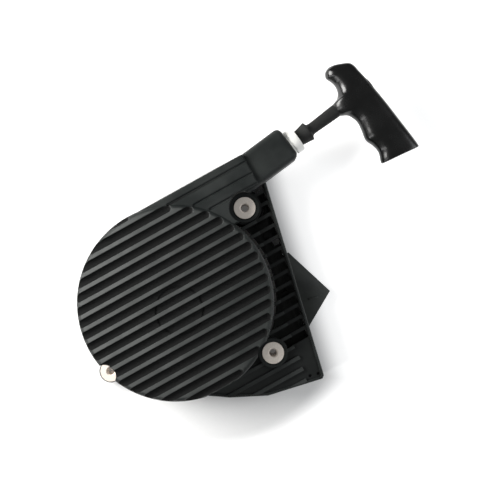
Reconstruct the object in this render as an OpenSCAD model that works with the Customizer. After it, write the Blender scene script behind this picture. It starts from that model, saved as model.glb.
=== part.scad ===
// Recoil starter for a small two-stroke engine.
// The starter lies on the rim that meets the crankcase. Z = 0 is that rim and +Z points out of
// the ribbed face. The origin is on the axis of the starter post. The rope leaves towards +X.

/* [Drum] */
// Outer radius of the drum that covers the flywheel
drum_r = 81; // [76:0.5:98]
// Height of the drum over the crests of its ribs
drum_h = 54; // [48:0.5:66]
// Thickness of the side walls
wall = 3; // [2.4:0.1:4]
// Thickness of the ceiling below the valleys
ceiling_t = 3; // [2.4:0.1:4]
// Radius that rounds the edge of the ribbed face
rim_round = 4; // [2:0.5:6]

/* [Ribs] */
// Distance from one rib to the next
rib_pitch = 9.8; // [8:0.1:12]
// Width of a valley between two ribs
valley_w = 6.8; // [5:0.1:7.5]
// Depth of a valley
valley_d = 3; // [2:0.1:3.4]
// Offset of the first valley from the post
valley_y = 2.4; // [-4:0.1:4]
// Width of the plain border that ends the valleys on the rope's side
border_w = 2; // [1:0.1:4]
// Radius of the shallow round mark on the ribbed face
mark_r = 19.5; // [15:0.5:25]
// Depth of that mark in the valleys
mark_d = 0.6; // [0.3:0.1:1]

/* [Shoulder and neck] */
// How far the shoulder's top lies below the rib crests
shoulder_drop = 2; // [1:0.5:4]
// Width of the shoulder
shoulder_w = 27.5; // [24:0.5:32]
// How far the shoulder reaches past the drum
shoulder_l = 26; // [20:0.5:34]
// Length of the neck in front of the shoulder
neck_out = 39.2; // [30:0.2:50]
// Distance of the rope at the neck's end from the drum's outermost line
rope_inset = 11.8; // [10:0.1:15]
// Side of the neck's square section
neck_w = 29.6; // [25:0.2:33]
// Radius of the neck's corners
neck_round = 5; // [3:0.5:8]
// How far the neck's middle is off the rope's line
neck_shift = 2; // [0:0.1:3]
// Radius of the rope's passage through the neck
neck_bore_r = 5.5; // [4:0.1:7]

/* [Flange] */
// Height of the flange plate's upper face
flange_h = 28.5; // [24:0.5:33]
// Thickness of the flange plate
flange_t = 3; // [2.4:0.1:4]
// Height of the bars over the flange plate
bar_h = 2.4; // [1:0.1:4]
// Length of a bar's low end next to the outer rim
bar_run_out = 18.5; // [12:0.5:24]
// Height of the raised rim over the flange plate
rim_h = 1.5; // [0.5:0.1:3]
// How far the flange's edge lies outside the drum at the shoulder's end
edge_out = 33.6; // [30:0.2:40]
// How far the flange's edge lies inside the drum's side at the lower corner
edge_in = 3.1; // [0:0.1:6]
// Distance of the lower corner from the drum's lowest line
corner_down = 33; // [28:0.5:40]

/* [Sleeves] */
// Radius of the hole for the M6 screws
bolt_r = 3.25; // [2.7:0.05:4.3]
// Radius of a sleeve's tube
sleeve_r = 5; // [4.5:0.1:6]
// Radius of a sleeve's flange
sleeve_flange_r = 9.2; // [7.5:0.1:10]
// Thickness of a sleeve's flange
sleeve_flange_t = 1.5; // [1:0.1:2.5]
// Radius of the countersunk mouth
sleeve_mouth_r = 4.1; // [3.5:0.1:5]
// Height of the bosses on the flange
boss_h = 34; // [30:0.5:40]
// Radius of the bosses on the flange
boss_r = 12.3; // [11:0.1:14]
// Height of the lug on the drum's side
lug_h = 12; // [8:0.5:20]
// Radius of the lug
lug_r = 9.8; // [9:0.1:11]
// Distance of the upper boss's middle from the drum's wall
boss_top_off = 15.9; // [14:0.1:20]
// Distance of the lower boss's middle from the drum's wall
boss_bottom_off = 10.1; // [9:0.1:14]
// Distance of the lug's middle from the drum's wall
lug_off = 3.3; // [2:0.1:6]

/* [Air guide] */
// Thickness of the air guide plate
guide_t = 3; // [2:0.5:4]
// Height of the plate's lower face
guide_z = 5; // [3:0.5:8]
// Radius of the plate's inner edge
guide_in_r = 84; // [82:0.5:88]

/* [Post] */
// Radius of the starter post
post_r = 5; // [4:0.1:6]
// Radius of the post's moulded-in root
post_root_r = 7; // [6.5:0.1:9]

/* [Spring] */
// Outer radius of the spring cassette
cassette_r = 38; // [34:0.5:42]
// Wall of the cassette
cassette_wall = 2; // [1.5:0.1:3]
// Height of the cassette
cassette_h = 8.6; // [7:0.1:10]
// Thickness of the cassette's bottom and of its cover
cover_t = 0.8; // [0.6:0.1:1.2]
// Thickness of the spring strip
strip_t = 0.6; // [0.4:0.05:0.8]
// Turns of the spring strip
strip_turns = 8; // [6:1:9]

/* [Rotor] */
// Outer radius of the rope rotor
rotor_r = 53; // [51:0.5:58]
// Thickness of each flange of the rotor
rotor_flange_t = 2.2; // [1.6:0.1:3]
// Width of the rope groove
groove_w = 5.2; // [4.8:0.1:6.5]
// Radius of the spring arbor on the rotor
arbor_r = 9.5; // [9:0.1:11]
// Wall of the bearing bush in the rotor
bush_wall = 1.5; // [1:0.1:2]

/* [Pawls] */
// Distance of a pawl's pivot from the post
pawl_x = 19; // [18:0.5:21]
// Thickness of a pawl
pawl_t = 5; // [4:0.5:6]
// Radius of a pawl's pivot pin
pivot_r = 2.5; // [2:0.1:3]
// Radius of the peg that the friction clip moves
peg_r = 1.5; // [1.2:0.1:1.8]
// Diameter of the friction clip's wire
clip_d = 1.4; // [1:0.1:1.8]

/* [Rope] */
// Diameter of the rope
rope_d = 4.5; // [3.5:0.1:4.8]
// Full turns of rope on the rotor
rope_turns = 3; // [3:1:3]
// Radial distance from one layer of rope to the next
rope_pitch = 4.7; // [4.5:0.1:5]
// Radius of the rope groove's floor
core_r = 33; // [31:0.5:36]

/* [Rope bush] */
// Radius of the bush's ring in front of the neck
bush_r = 11.3; // [10:0.1:12.5]
// Length of the ring
bush_l = 8.6; // [6:0.1:11]
// Radius of the bush's tail in the neck
bush_tail_r = 8.2; // [7.5:0.1:9]
// Length of the tail
bush_tail_l = 10; // [6:0.5:14]
// Radius of the rope's hole in the bush
bush_bore_r = 4; // [3.6:0.1:5]
// How far the bush's middle is off the rope's line
bush_shift = 1.1; // [0:0.1:1.5]

/* [Handle] */
// Length of the collar that meets the bush
collar_l = 11; // [8:0.5:14]
// Radius of the collar's front
collar_r = 6.7; // [6:0.1:8]
// Radius of the collar's back
collar_back_r = 8.4; // [7:0.1:9.5]
// Radius of the stem behind the collar
stem_r = 4.9; // [4.6:0.1:6]
// Length of the stem's sleeve, collar included
stem_l = 52; // [48:1:56]
// Half of the handle's greatest thickness
grip_half = 11; // [9.5:0.5:13]

/* [Fits] */
// Radial clearance of a running fit
running = 0.05; // [0.02:0.01:0.1]
// Gap between pieces that move past each other
play = 0.4; // [0.3:0.05:0.5]
// Gap round a piece that is fixed in another
seat = 0.05; // [0.02:0.01:0.1]

/* [Hidden] */

$fn = 64;
CHARCOAL = [0.16, 0.17, 0.17];
BLACK = [0.07, 0.07, 0.07];
STEEL = [0.72, 0.71, 0.67];
DARK_STEEL = [0.35, 0.36, 0.38];
NYLON = [0.93, 0.93, 0.90];
AMBER = [0.80, 0.72, 0.55];
ROPE = [0.85, 0.85, 0.82];
EPS = 0.01;
PAST = 1;            // how far a cut runs past a face
moving_gap = 0.3;    // gap between pieces of different bodies that pass each other

// Heights, worked down from the ceiling
ceiling_z = drum_h - valley_d - ceiling_t;
cassette_z = ceiling_z - cassette_h;
cover_z = cassette_z - cover_t;
rotor_top = cover_z - play;
rope_z = rotor_top - rotor_flange_t - groove_w / 2;
rotor_z = rotor_top - 2 * rotor_flange_t - groove_w;
pawl_top = rotor_z - moving_gap;
pawl_z = pawl_top - pawl_t;
hub_z = pawl_z - 0.6;
clip_z = hub_z - play - clip_d / 2;
washer_t = 0.8;
washer_r = 9;
washer_z = clip_z - clip_d / 2 - play - washer_t;
e_clip_t = 1.1;
e_clip_z = washer_z - 0.1 - e_clip_t;
post_z = e_clip_z - 1.9;
arbor_top = ceiling_z - 2.8;
web_t = 1.5;
hub_r = post_r + running + bush_wall + wall;
post_boss_r = post_root_r + wall;
post_boss_z = ceiling_z - 2.4;
post_root_top = drum_h - valley_d - 0.8;
shoulder_h = drum_h - shoulder_drop;

// Points that hold the housing to the crankcase, each at an angle and a distance off the drum
function off_drum(a, d) = (drum_r + d) * [cos(a), sin(a)];
boss_top_p = off_drum(25.3, boss_top_off);
boss_bottom_p = off_drum(-57, boss_bottom_off);
lug_p = off_drum(197, lug_off);
well_r = boss_r + 0.5;

// Sides of the shoulder and the ends of shoulder and neck
shoulder_y = drum_r - 0.5;
shoulder_in = shoulder_y - shoulder_w;
shoulder_x = drum_r + shoulder_l;
neck_x = shoulder_x + neck_out;

// Outline of the flange, from the shoulder's tangent clockwise
edge_top = [drum_r + edge_out, shoulder_in + 2.5];
edge_low = [drum_r - edge_in, -drum_r - corner_down];
flange_outline = [[8, shoulder_y - 0.5], [shoulder_x, shoulder_y - 0.5], edge_top,
    edge_low, edge_low - [2.4, 2], edge_low + [-49.6, 7.7], edge_low + [-78.4, 21.8],
    drum_r * [-0.27, -0.963]];
edge_slope = (edge_top.x - edge_low.x) / (edge_top.y - edge_low.y);
function edge_x(y) = edge_top.x + (y - edge_top.y) * edge_slope;

// Outline of the shoulder, which runs into the well round the upper boss
shoulder_outline = [[0, shoulder_in + 7], [8, shoulder_y], [shoulder_x, shoulder_y],
    [shoulder_x, shoulder_in], [boss_top_p.x + 7.4, shoulder_in], boss_top_p - [7.6, 8.4],
    boss_top_p - [19.6, 8.4]];

// Moves each side of a clockwise outline inwards by d
function inset(pts, d) = [for (i = [0:len(pts) - 1])
    let (a = pts[(i + len(pts) - 1) % len(pts)], b = pts[i], c = pts[(i + 1) % len(pts)],
        u = (b - a) / norm(b - a), v = (c - b) / norm(c - b),
        nu = [u.y, -u.x], nv = [v.y, -v.x])
    b + (nu + nv) * d / (1 + nu * nv)];

// Valleys and the crests between them, numbered from the post towards +Y
valley_ids = [-8:7];
function valley_at(i) = valley_y + i * rib_pitch;
function crest_at(i) = valley_at(i) + rib_pitch / 2;
scoop_r = (pow(valley_w / 2, 2) + pow(valley_d, 2)) / (2 * valley_d);
function border_x(y) = sqrt(max(pow(drum_r - border_w, 2) - y * y, 1));

// Layers of rope on the rotor
rope_r = rope_d / 2;
coil_in = core_r + rope_r;
coil_out = coil_in + rope_turns * rope_pitch;
// The rope is tangent to the outermost layer and leaves through the neck
rope_exit = [neck_x, drum_r - rope_inset];
rope_angle = atan2(rope_exit.y, rope_exit.x) - asin(coil_out / norm(rope_exit));

// A frame whose x runs along the rope, with its origin where the rope leaves the rotor
module along_rope(x = 0, shift = 0) {
    rotate([0, 0, rope_angle])
        translate([x, coil_out + shift, rope_z])
            rotate([0, 90, 0])
                children();
}
// Distance along the rope to the plane where the line meets a given x
function rope_to(x) = (x + coil_out * sin(rope_angle)) / cos(rope_angle);
neck_l = rope_to(neck_x);
bush_end = neck_l + bush_l;
collar_x = bush_end + moving_gap;
knot_x = collar_x + 59;

knot_angle = rope_angle + 90 - 20;

// Screws of the cassette and of the air guide
screw_r = 1.5;
screw_head_r = 2.9;
screw_head_t = 1.8;
screw_l = 6.6;
guide_screw_l = 12;
column_r = 3.6;

// Ears of the cassette
cassette_angles = [38, 152, 268];
cassette_ear_x = cassette_r + 4.4;
ear_z = ceiling_z - 5.6;
ear_t = 1.6;

// The spring strip is close to its neighbours near the cassette's wall and open near the arbor
strip_w = cassette_h - cover_t - 2 * play;
strip_in = arbor_r + 1;
strip_out = cassette_r - cassette_wall - strip_t - 0.2;
strip_end = 360 * strip_turns;
function strip_r(t) = strip_in + (strip_out - strip_in) * pow(t, 0.62);
function strip_line(offset, n) = [for (i = [0:n]) let (t = i / n, a = strip_end * t)
    (strip_r(t) + offset) * [cos(a), sin(a)]];

// Corner of the air guide that stands out past the flange, and the guide's screws
guide_apex = [edge_x(-54) + 27, -56];
guide_corner = [[edge_x(-8) - 15, -8], [edge_x(-9.5) + 2, -9.5], guide_apex,
    [edge_x(-74.5), -74.5]];
guide_screw_p = [off_drum(7, 13.6), off_drum(-25.8, 11), off_drum(-57.4, 34)];

// Countersink of a sleeve's mouth
mouth_d = 0.8;

// Pins and pegs of the pawls
pin_grip = 6;
pin_head_t = 0.4;
peg_x = 6;

// Knot's pocket and cap in the handle, along the rope from the collar's front
pocket_r = 6.4;
pocket_x = knot_x - collar_x - 1.2;
cap_x = 73.2;

// An arc's points about c, from angle a to angle b
function arc(c, r, a, b, n = 8) = [for (i = [0:n]) let (t = a + (b - a) * i / n)
    c + r * [cos(t), sin(t)]];

module ring(r_out, r_in, h) {
    difference() {
        cylinder(r = r_out, h = h);
        translate([0, 0, -PAST]) cylinder(r = r_in, h = h + 2 * PAST);
    }
}

module at(p, z = 0) {
    translate([p.x, p.y, z]) children();
}

// ---------------------------------------------------------------- housing

module rounded_square(w, r) {
    square([w - 2 * r, w], center = true);
    square([w, w - 2 * r], center = true);
    for (sx = [-1, 1], sy = [-1, 1]) translate([sx * (w / 2 - r), sy * (w / 2 - r)]) circle(r = r);
}

module neck_box() {
    start = rope_to(shoulder_x) - 14;
    intersection() {
        along_rope(start, neck_shift)
            linear_extrude(neck_l - start) rounded_square(neck_w, neck_round);
        rotate([0, 0, rope_angle]) translate([start, coil_out + neck_shift, rope_z - neck_w])
            linear_extrude(2 * neck_w) union() {
                translate([0, -neck_w / 2]) square([neck_l - start - neck_round, neck_w]);
                translate([0, neck_round - neck_w / 2])
                    square([neck_l - start, neck_w - 2 * neck_round]);
                for (s = [-1, 1]) translate([neck_l - start - neck_round, s * (neck_w / 2 - neck_round)])
                    circle(r = neck_round);
            }
    }
}

module drum_outside() {
    rotate_extrude($fn = 128) polygon(concat([[0, 0], [drum_r, 0]],
        arc([drum_r - rim_round, drum_h - rim_round], rim_round, 0, 90), [[0, drum_h]]));
}

module housing_outside() {
    drum_outside();
    linear_extrude(shoulder_h) polygon(shoulder_outline);
    linear_extrude(flange_h) polygon(flange_outline);
    linear_extrude(flange_h + rim_h) difference() {
        polygon(flange_outline);
        polygon(inset(flange_outline, 2.2));
    }
    at(lug_p) cylinder(r = lug_r, h = lug_h);
    neck_box();
}

module housing_inside() {
    difference() {
        union() {
            translate([0, 0, -PAST]) cylinder(r = drum_r - wall, h = ceiling_z + PAST, $fn = 128);
            translate([0, 0, -PAST]) linear_extrude(flange_h - flange_t + PAST)
                polygon(inset(flange_outline, wall));
            translate([0, 0, -PAST]) linear_extrude(shoulder_h - ceiling_t + PAST)
                polygon(inset(shoulder_outline, wall));
        }
        at(boss_top_p, -2 * PAST) cylinder(r = well_r + wall, h = drum_h);
        at(lug_p, -2 * PAST) cylinder(r = lug_r + wall, h = drum_h + 2 * PAST);
    }
}

// Columns for the screws and the boss of the post
module housing_bosses() {
    at(boss_top_p) cylinder(r = boss_r, h = boss_h);
    at(boss_bottom_p) cylinder(r = sleeve_r + wall, h = boss_h);
    at(boss_bottom_p, flange_h - flange_t) cylinder(r = boss_r, h = boss_h - flange_h + flange_t);
    translate([0, 0, post_boss_z]) cylinder(r = post_boss_r, h = ceiling_z - post_boss_z + EPS);
    for (a = cassette_angles) rotate(a) translate([cassette_ear_x, 0, ear_z + ear_t])
        cylinder(r = column_r, h = ceiling_z - ear_z - ear_t + EPS);
    for (p = guide_screw_p) at(p, guide_z + guide_t)
        cylinder(r = column_r, h = flange_h - flange_t - guide_z - guide_t + EPS);
}

// Round troughs between the ribs, with their floors lowered by deeper
module valleys(deeper = 0) {
    for (i = valley_ids) let (y = valley_at(i), x = border_x(y))
        translate([-drum_r - PAST, y, drum_h + scoop_r - valley_d]) rotate([0, 90, 0])
            cylinder(r = scoop_r + deeper, h = drum_r + PAST + x - valley_w / 2);
}

module shoulder_grooves() {
    for (y = [shoulder_in + 0.6, shoulder_in + rib_pitch, shoulder_in + 2 * rib_pitch + 0.9])
        translate([border_x(y) + border_w + 1, y, shoulder_h]) rotate([0, 90, 0])
            cylinder(r = 1.7, h = shoulder_x);
}

// Slots of the air inlet between the drum's wall and the flange's outer edge
module air_slots() {
    difference() {
        for (i = [-8:5]) let (y = valley_at(i))
            translate([0, y - valley_w / 2, flange_h - flange_t - PAST])
                cube([edge_x(y) - wall - 0.5, valley_w, flange_t + 2 * PAST]);
        translate([0, 0, flange_h - flange_t - 2 * PAST])
            cylinder(r = drum_r + 0.5, h = flange_t + 4 * PAST);
        at(boss_top_p, flange_h - 9) cylinder(r = well_r + 1.2, h = 18);
        at(boss_bottom_p, flange_h - 9) cylinder(r = well_r, h = 18);
        translate([0, 0, flange_h - 9]) linear_extrude(18) polygon(shoulder_outline);
        translate([-PAST, -drum_r - 8, flange_h - 9]) cube([boss_bottom_p.x - 11.6, 30, 18]);
    }
}

// Raised part of each bar, and the ribs of the plain corner
module flange_bars() {
    intersection() {
        translate([0, 0, flange_h - EPS]) linear_extrude(bar_h) union() {
            for (i = [-8:4]) let (y = crest_at(i) - rib_pitch)
                translate([0, y - 1.4]) square([edge_x(y) - bar_run_out, 2.8]);
            for (y = [crest_at(-10), crest_at(-11), crest_at(-12)])
                translate([-30, y - 1.6]) square([edge_x(y) - bar_run_out + 34, 3.2]);
        }
        linear_extrude(drum_h) polygon(inset(flange_outline, 1));
    }
}

module fan_housing() {
    color(CHARCOAL) difference() {
        union() {
            difference() {
                union() {
                    housing_outside();
                    flange_bars();
                }
                housing_inside();
            }
            housing_bosses();
        }
        valleys();
        shoulder_grooves();
        air_slots();
        // wells over the three screws
        at(boss_top_p, boss_h) cylinder(r = well_r, h = drum_h);
        at(boss_bottom_p, boss_h) cylinder(r = well_r, h = drum_h);
        at(lug_p, lug_h) cylinder(r = lug_r, h = drum_h);
        for (p = [boss_top_p, boss_bottom_p]) {
            at(p, -PAST) cylinder(r = sleeve_r + seat, h = boss_h + 2 * PAST);
            at(p, boss_h - sleeve_flange_t) cylinder(r = sleeve_flange_r + 0.8, h = 2 * sleeve_flange_t);
        }
        at(lug_p, -PAST) cylinder(r = sleeve_r + seat, h = lug_h + 2 * PAST);
        at(lug_p, lug_h - sleeve_flange_t) cylinder(r = sleeve_flange_r + seat, h = 2 * sleeve_flange_t);
        // round mark across the valleys
        intersection() {
            translate([0, -7, ceiling_z + PAST]) ring(mark_r + 0.7, mark_r - 0.7, drum_h);
            valleys(mark_d);
        }
        // seat of the post
        translate([0, 0, post_boss_z - PAST])
            cylinder(r = post_root_r + seat, h = post_root_top + seat - post_boss_z + PAST);
        // the cassette's and the air guide's screws
        for (a = cassette_angles) rotate(a) translate([cassette_ear_x, 0, ear_z])
            cylinder(r = screw_r, h = screw_l);
        for (p = guide_screw_p) at(p, guide_z) cylinder(r = screw_r, h = guide_screw_l);
        // the rope's way out
        along_rope(rope_to(shoulder_x) - 20) cylinder(r = neck_bore_r, h = neck_l);
        along_rope(neck_l - bush_tail_l - seat, bush_shift)
            cylinder(r = bush_tail_r + seat, h = bush_tail_l + PAST);
        // gap in the right wall for the air guide's corner, and a drain beside it
        linear_extrude(guide_z + guide_t + play) polygon(inset(guide_corner, -play));
        translate([edge_x(0) - 6, 2, -PAST]) cube([4.6, 3.6, drum_h]);
    }
}

// ---------------------------------------------------------------- air guide

module air_guide() {
    color(BLACK) difference() {
        union() {
            translate([0, 0, guide_z]) linear_extrude(guide_t) union() {
                intersection() {
                    polygon(inset(flange_outline, wall + play));
                    translate([boss_bottom_p.x - 29, edge_low.y - 5])
                        square([2 * drum_r, boss_top_p.y - edge_low.y + 10]);
                }
                polygon(guide_corner);
            }
            // stiffening bead on the corner
            at(guide_apex - [20, -2], guide_z + guide_t - EPS) rotate(-16) cube([8, 1.6, 0.8]);
        }
        translate([0, 0, -PAST]) cylinder(r = guide_in_r, h = drum_h);
        at(boss_top_p, -PAST) cylinder(r = well_r + wall + play, h = drum_h);
        at(boss_bottom_p, -PAST) cylinder(r = sleeve_r + wall + play, h = drum_h);
        translate([edge_x(0) - 8, 1, 0]) cube([12, 6, drum_h]);
        for (p = guide_screw_p) at(p, -PAST) cylinder(r = screw_r + 0.2, h = drum_h);
    }
}

module screw(l) {
    cylinder(r = screw_r - seat, h = l - 0.2);
    translate([0, 0, -screw_head_t]) difference() {
        cylinder(r = screw_head_r, h = screw_head_t);
        translate([0, 0, -EPS]) cylinder(r = 1.4, h = 1, $fn = 6);
    }
}

module air_guide_screws() {
    color(DARK_STEEL) for (p = guide_screw_p) at(p, guide_z) screw(guide_screw_l);
}

// ---------------------------------------------------------------- post and spring

module starter_post() {
    color(STEEL) difference() {
        union() {
            translate([0, 0, post_z]) cylinder(r = post_r, h = post_root_top - post_z);
            translate([0, 0, post_boss_z]) cylinder(r = post_root_r, h = post_root_top - post_boss_z);
            translate([0, 0, post_z - 0.6]) cylinder(r1 = post_r - 0.6, r2 = post_r, h = 0.6);
        }
        translate([0, 0, e_clip_z - seat]) ring(post_r + PAST, post_r - 1, e_clip_t + 2 * seat);
    }
}

module spring_cassette() {
    color(BLACK) difference() {
        union() {
            translate([0, 0, cassette_z]) cylinder(r = cassette_r, h = cassette_h);
            for (a = cassette_angles) rotate(a) translate([0, 0, ear_z]) linear_extrude(ear_t) union() {
                translate([cassette_r - 2, -3.8]) square([6.4, 7.6]);
                translate([cassette_ear_x, 0]) circle(r = 3.8);
            }
        }
        translate([0, 0, cassette_z - PAST])
            cylinder(r = cassette_r - cassette_wall, h = cassette_h - cover_t + PAST);
        translate([0, 0, cassette_z - PAST]) cylinder(r = post_boss_r + seat, h = cassette_h + 2 * PAST);
        for (a = cassette_angles) rotate(a) translate([cassette_ear_x, 0, ear_z - PAST])
            cylinder(r = screw_r + 0.1, h = 2 * ear_t);
        // slot for the spring's outer hook
        rotate(strip_end) translate([cassette_r - cassette_wall - EPS, -1.1, cassette_z - PAST])
            cube([1.3, 2.2, strip_w + 2]);
    }
}

module spring_cover() {
    color(BLACK) translate([0, 0, cover_z]) ring(cassette_r, arbor_r + play, cover_t);
}

module cassette_screws() {
    color(DARK_STEEL) for (a = cassette_angles) rotate(a) translate([cassette_ear_x, 0, ear_z])
        screw(screw_l);
}

module rewind_spring() {
    n = 20 * strip_turns;
    inner = strip_line(0, n);
    outer = strip_line(strip_t, n);
    color(STEEL) translate([0, 0, cassette_z + play]) {
        linear_extrude(strip_w) union() {
            polygon(concat(inner, [for (i = [n:-1:0]) outer[i]]));
            // outer hook in the cassette's slot
            translate([strip_out, -strip_t / 2]) square([1.6, strip_t]);
        }
        // inner hook in the arbor's notch, clear of the post's boss
        translate([arbor_r - 1.2, 0, 0]) cube([2.2, strip_t, post_boss_z - cassette_z - 2 * play]);
    }
}

// ---------------------------------------------------------------- rope bush and sleeves

module rope_bush() {
    color(NYLON) along_rope(neck_l - bush_tail_l, bush_shift) difference() {
        union() {
            cylinder(r = bush_tail_r, h = bush_tail_l + EPS);
            translate([0, 0, bush_tail_l]) cylinder(r = bush_r - 0.9, h = 2 + EPS);
            translate([0, 0, bush_tail_l + 2]) cylinder(r = bush_r, h = bush_l - 2.8);
            translate([0, 0, bush_tail_l + bush_l - 0.8 - EPS])
                cylinder(r1 = bush_r, r2 = bush_r - 0.8, h = 0.8 + EPS);
        }
        translate([0, 0, -PAST]) cylinder(r = bush_bore_r, h = bush_tail_l + bush_l + 2 * PAST);
        translate([0, 0, bush_tail_l + bush_l - 1.5])
            cylinder(r1 = bush_bore_r, r2 = bush_bore_r + 1.6, h = 1.6);
    }
}

module sleeve(h) {
    difference() {
        union() {
            cylinder(r = sleeve_r, h = h);
            translate([0, 0, h - sleeve_flange_t]) cylinder(r = sleeve_flange_r, h = sleeve_flange_t);
        }
        translate([0, 0, -PAST]) cylinder(r = bolt_r, h = h + 2 * PAST);
        translate([0, 0, h - mouth_d]) cylinder(r1 = bolt_r, r2 = sleeve_mouth_r, h = mouth_d + EPS);
    }
}

module boss_sleeves() {
    color(STEEL) for (p = [boss_top_p, boss_bottom_p]) at(p) sleeve(boss_h);
}

module lug_sleeve() {
    color(STEEL) at(lug_p) sleeve(lug_h);
}

module thrust_washer() {
    color(STEEL) translate([0, 0, washer_z]) ring(washer_r, post_r + 0.15, washer_t);
}

module e_clip() {
    color(DARK_STEEL) translate([0, 0, e_clip_z]) difference() {
        ring(8, post_r - 1 + seat, e_clip_t);
        translate([0, -3, -PAST]) cube([20, 6, 3 * PAST]);
        for (a = [100, 260]) rotate(a) translate([post_r + 0.4, 0, -PAST])
            cylinder(r = 1.1, h = 3 * PAST);
    }
}

// ---------------------------------------------------------------- rotor

module rope_rotor() {
    color(AMBER) difference() {
        union() {
            translate([0, 0, rotor_z]) cylinder(r = rotor_r, h = rotor_flange_t);
            translate([0, 0, rotor_top - rotor_flange_t]) cylinder(r = rotor_r, h = rotor_flange_t);
            translate([0, 0, rotor_z]) cylinder(r = core_r, h = rotor_top - rotor_z);
            translate([0, 0, hub_z]) cylinder(r = hub_r, h = rotor_z - hub_z + EPS);
            translate([0, 0, rotor_top - EPS]) cylinder(r = arbor_r, h = arbor_top - rotor_top);
        }
        // pockets above the web, between ribs
        difference() {
            translate([0, 0, rotor_z + web_t]) ring(core_r - wall, hub_r + 1.5, rotor_top);
            for (i = [0:5]) rotate(knot_angle + 12.4 + 60 * i) translate([0, -1, 0])
                cube([rotor_r, 2, drum_h]);
            for (s = [0, 180]) rotate(s) translate([pawl_x, 0, 0])
                cylinder(r = pivot_r + 2.2, h = drum_h);
        }
        translate([0, 0, hub_z - PAST]) cylinder(r = post_r + running + bush_wall, h = drum_h);
        for (s = [0, 180]) rotate(s) translate([pawl_x, 0, rotor_z - PAST])
            cylinder(r = pivot_r, h = pin_grip + PAST);
        // notch for the spring's inner hook
        translate([arbor_r - 1.6, -0.6, rotor_top + play]) cube([3, strip_t + 1.2, drum_h]);
        // the rope's way from the groove into its knot's pocket
        rotate(knot_angle) translate([core_r - wall - PAST, 0, rope_z]) rotate([0, 90, 0])
            cylinder(r = rope_r + 0.3, h = wall + 2 * PAST);
    }
}

module rotor_bush() {
    color(STEEL) translate([0, 0, hub_z])
        ring(post_r + running + bush_wall - seat / 2, post_r + running, arbor_top - hub_z);
}

// A tube of 8 sides through a list of points, closed at its ends
function unit(v) = v / norm(v);
module tube(pts, r) {
    n = len(pts);
    sides = 8;
    rings = [for (i = [0:n - 1])
        let (t = unit(pts[min(i + 1, n - 1)] - pts[max(i - 1, 0)]), s = unit(cross([0, 0, 1], t)))
        for (k = [0:sides - 1]) pts[i] + r * (s * cos(45 * k) + cross(t, s) * sin(45 * k))];
    polyhedron(points = rings, faces = concat(
        [[for (k = [0:sides - 1]) k]],
        [for (i = [0:n - 2], k = [0:sides - 1]) [i * sides + k, (i + 1) * sides + k,
            (i + 1) * sides + (k + 1) % sides, i * sides + (k + 1) % sides]],
        [[for (k = [sides - 1:-1:0]) (n - 1) * sides + k]]), convexity = 8);
}

// Layers of rope, from the core out to where the rope leaves the rotor
module rope_coil() {
    per_turn = 24;
    end_gap = 180 * moving_gap / (PI * coil_out);
    color(ROPE) tube([for (i = [0:per_turn * rope_turns])
        let (t = i / per_turn, a = rope_angle + 90 + end_gap + 360 * (rope_turns - t),
            r = coil_in + rope_pitch * t)
        [r * cos(a), r * sin(a), rope_z]], rope_r);
}

module rotor_knot() {
    color(ROPE) rotate(knot_angle) translate([core_r - wall - 4.4, 0, rope_z]) rotate_extrude()
        polygon([[0, -2.9], [2.6, -2.9], [4.1, -1.4], [4.1, 1.4], [2.6, 2.9], [0, 2.9]]);
}

// ---------------------------------------------------------------- pawls and friction clip

module pawl_pins() {
    color(STEEL) for (s = [0, 180]) rotate(s) translate([pawl_x, 0, 0]) {
        translate([0, 0, pawl_z - 0.1 - pin_head_t]) cylinder(r = pivot_r + 0.9, h = pin_head_t);
        translate([0, 0, pawl_z - 0.1 - EPS])
            cylinder(r = pivot_r - seat / 2, h = rotor_z + pin_grip - seat - pawl_z);
    }
}

module pawl() {
    color(DARK_STEEL) translate([pawl_x, 0, pawl_z]) {
        difference() {
            union() {
                cylinder(r = pivot_r + 2.3, h = pawl_t);
                linear_extrude(pawl_t) polygon(concat([[-4.4, 0], [4.7, 1]],
                    [[4.4, -5], [3.4, -10], [2.6, -15], [-1.6, -14.4], [-2.4, -9], [-3.6, -4]]));
                translate([peg_x - 3.4, -peg_r - 0.6, 0]) cube([3.4, 2 * peg_r + 1.2, pawl_t]);
                translate([peg_x, 0, 0]) cylinder(r = peg_r + 0.6, h = pawl_t);
            }
            translate([0, 0, -PAST]) cylinder(r = pivot_r + running, h = pawl_t + 2 * PAST);
        }
        translate([peg_x, 0, clip_z - clip_d / 2 - pawl_z - 0.2])
            cylinder(r = peg_r, h = pawl_z - clip_z + clip_d / 2 + 0.2 + EPS);
    }
}

module pawl_a() {
    pawl();
}

module pawl_b() {
    rotate(180) pawl();
}

// A ring of wire round the post with a fork over each pawl's peg
module friction_clip() {
    fork_gap = 2 * peg_r + 2 * moving_gap;
    fork_y = fork_gap / 2 + clip_d / 2;
    ring_r = post_r + running + clip_d / 2;
    color(STEEL) translate([0, 0, clip_z]) {
        rotate_extrude() translate([ring_r, 0]) circle(d = clip_d, $fn = 24);
        for (s = [0, 180], side = [-1, 1]) rotate(s) translate([ring_r * 0.85, side * fork_y, 0])
            rotate([0, 90, 0]) cylinder(d = clip_d, h = pawl_x + peg_x + 3 - ring_r * 0.85, $fn = 24);
    }
}

// ---------------------------------------------------------------- rope end and handle

module rope_run() {
    color(ROPE) along_rope(moving_gap) cylinder(r = rope_r, h = knot_x - moving_gap - seat);
}

module handle_knot() {
    color(ROPE) along_rope(knot_x) rotate_extrude()
        polygon([[0, 0], [3.6, 0], [5, 1.6], [5, 6], [3.6, 8], [0, 8.6]]);
}

module knot_washer() {
    color(STEEL) along_rope(knot_x - 1.2) ring(5.6, rope_r + seat, 1.1);
}

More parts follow.
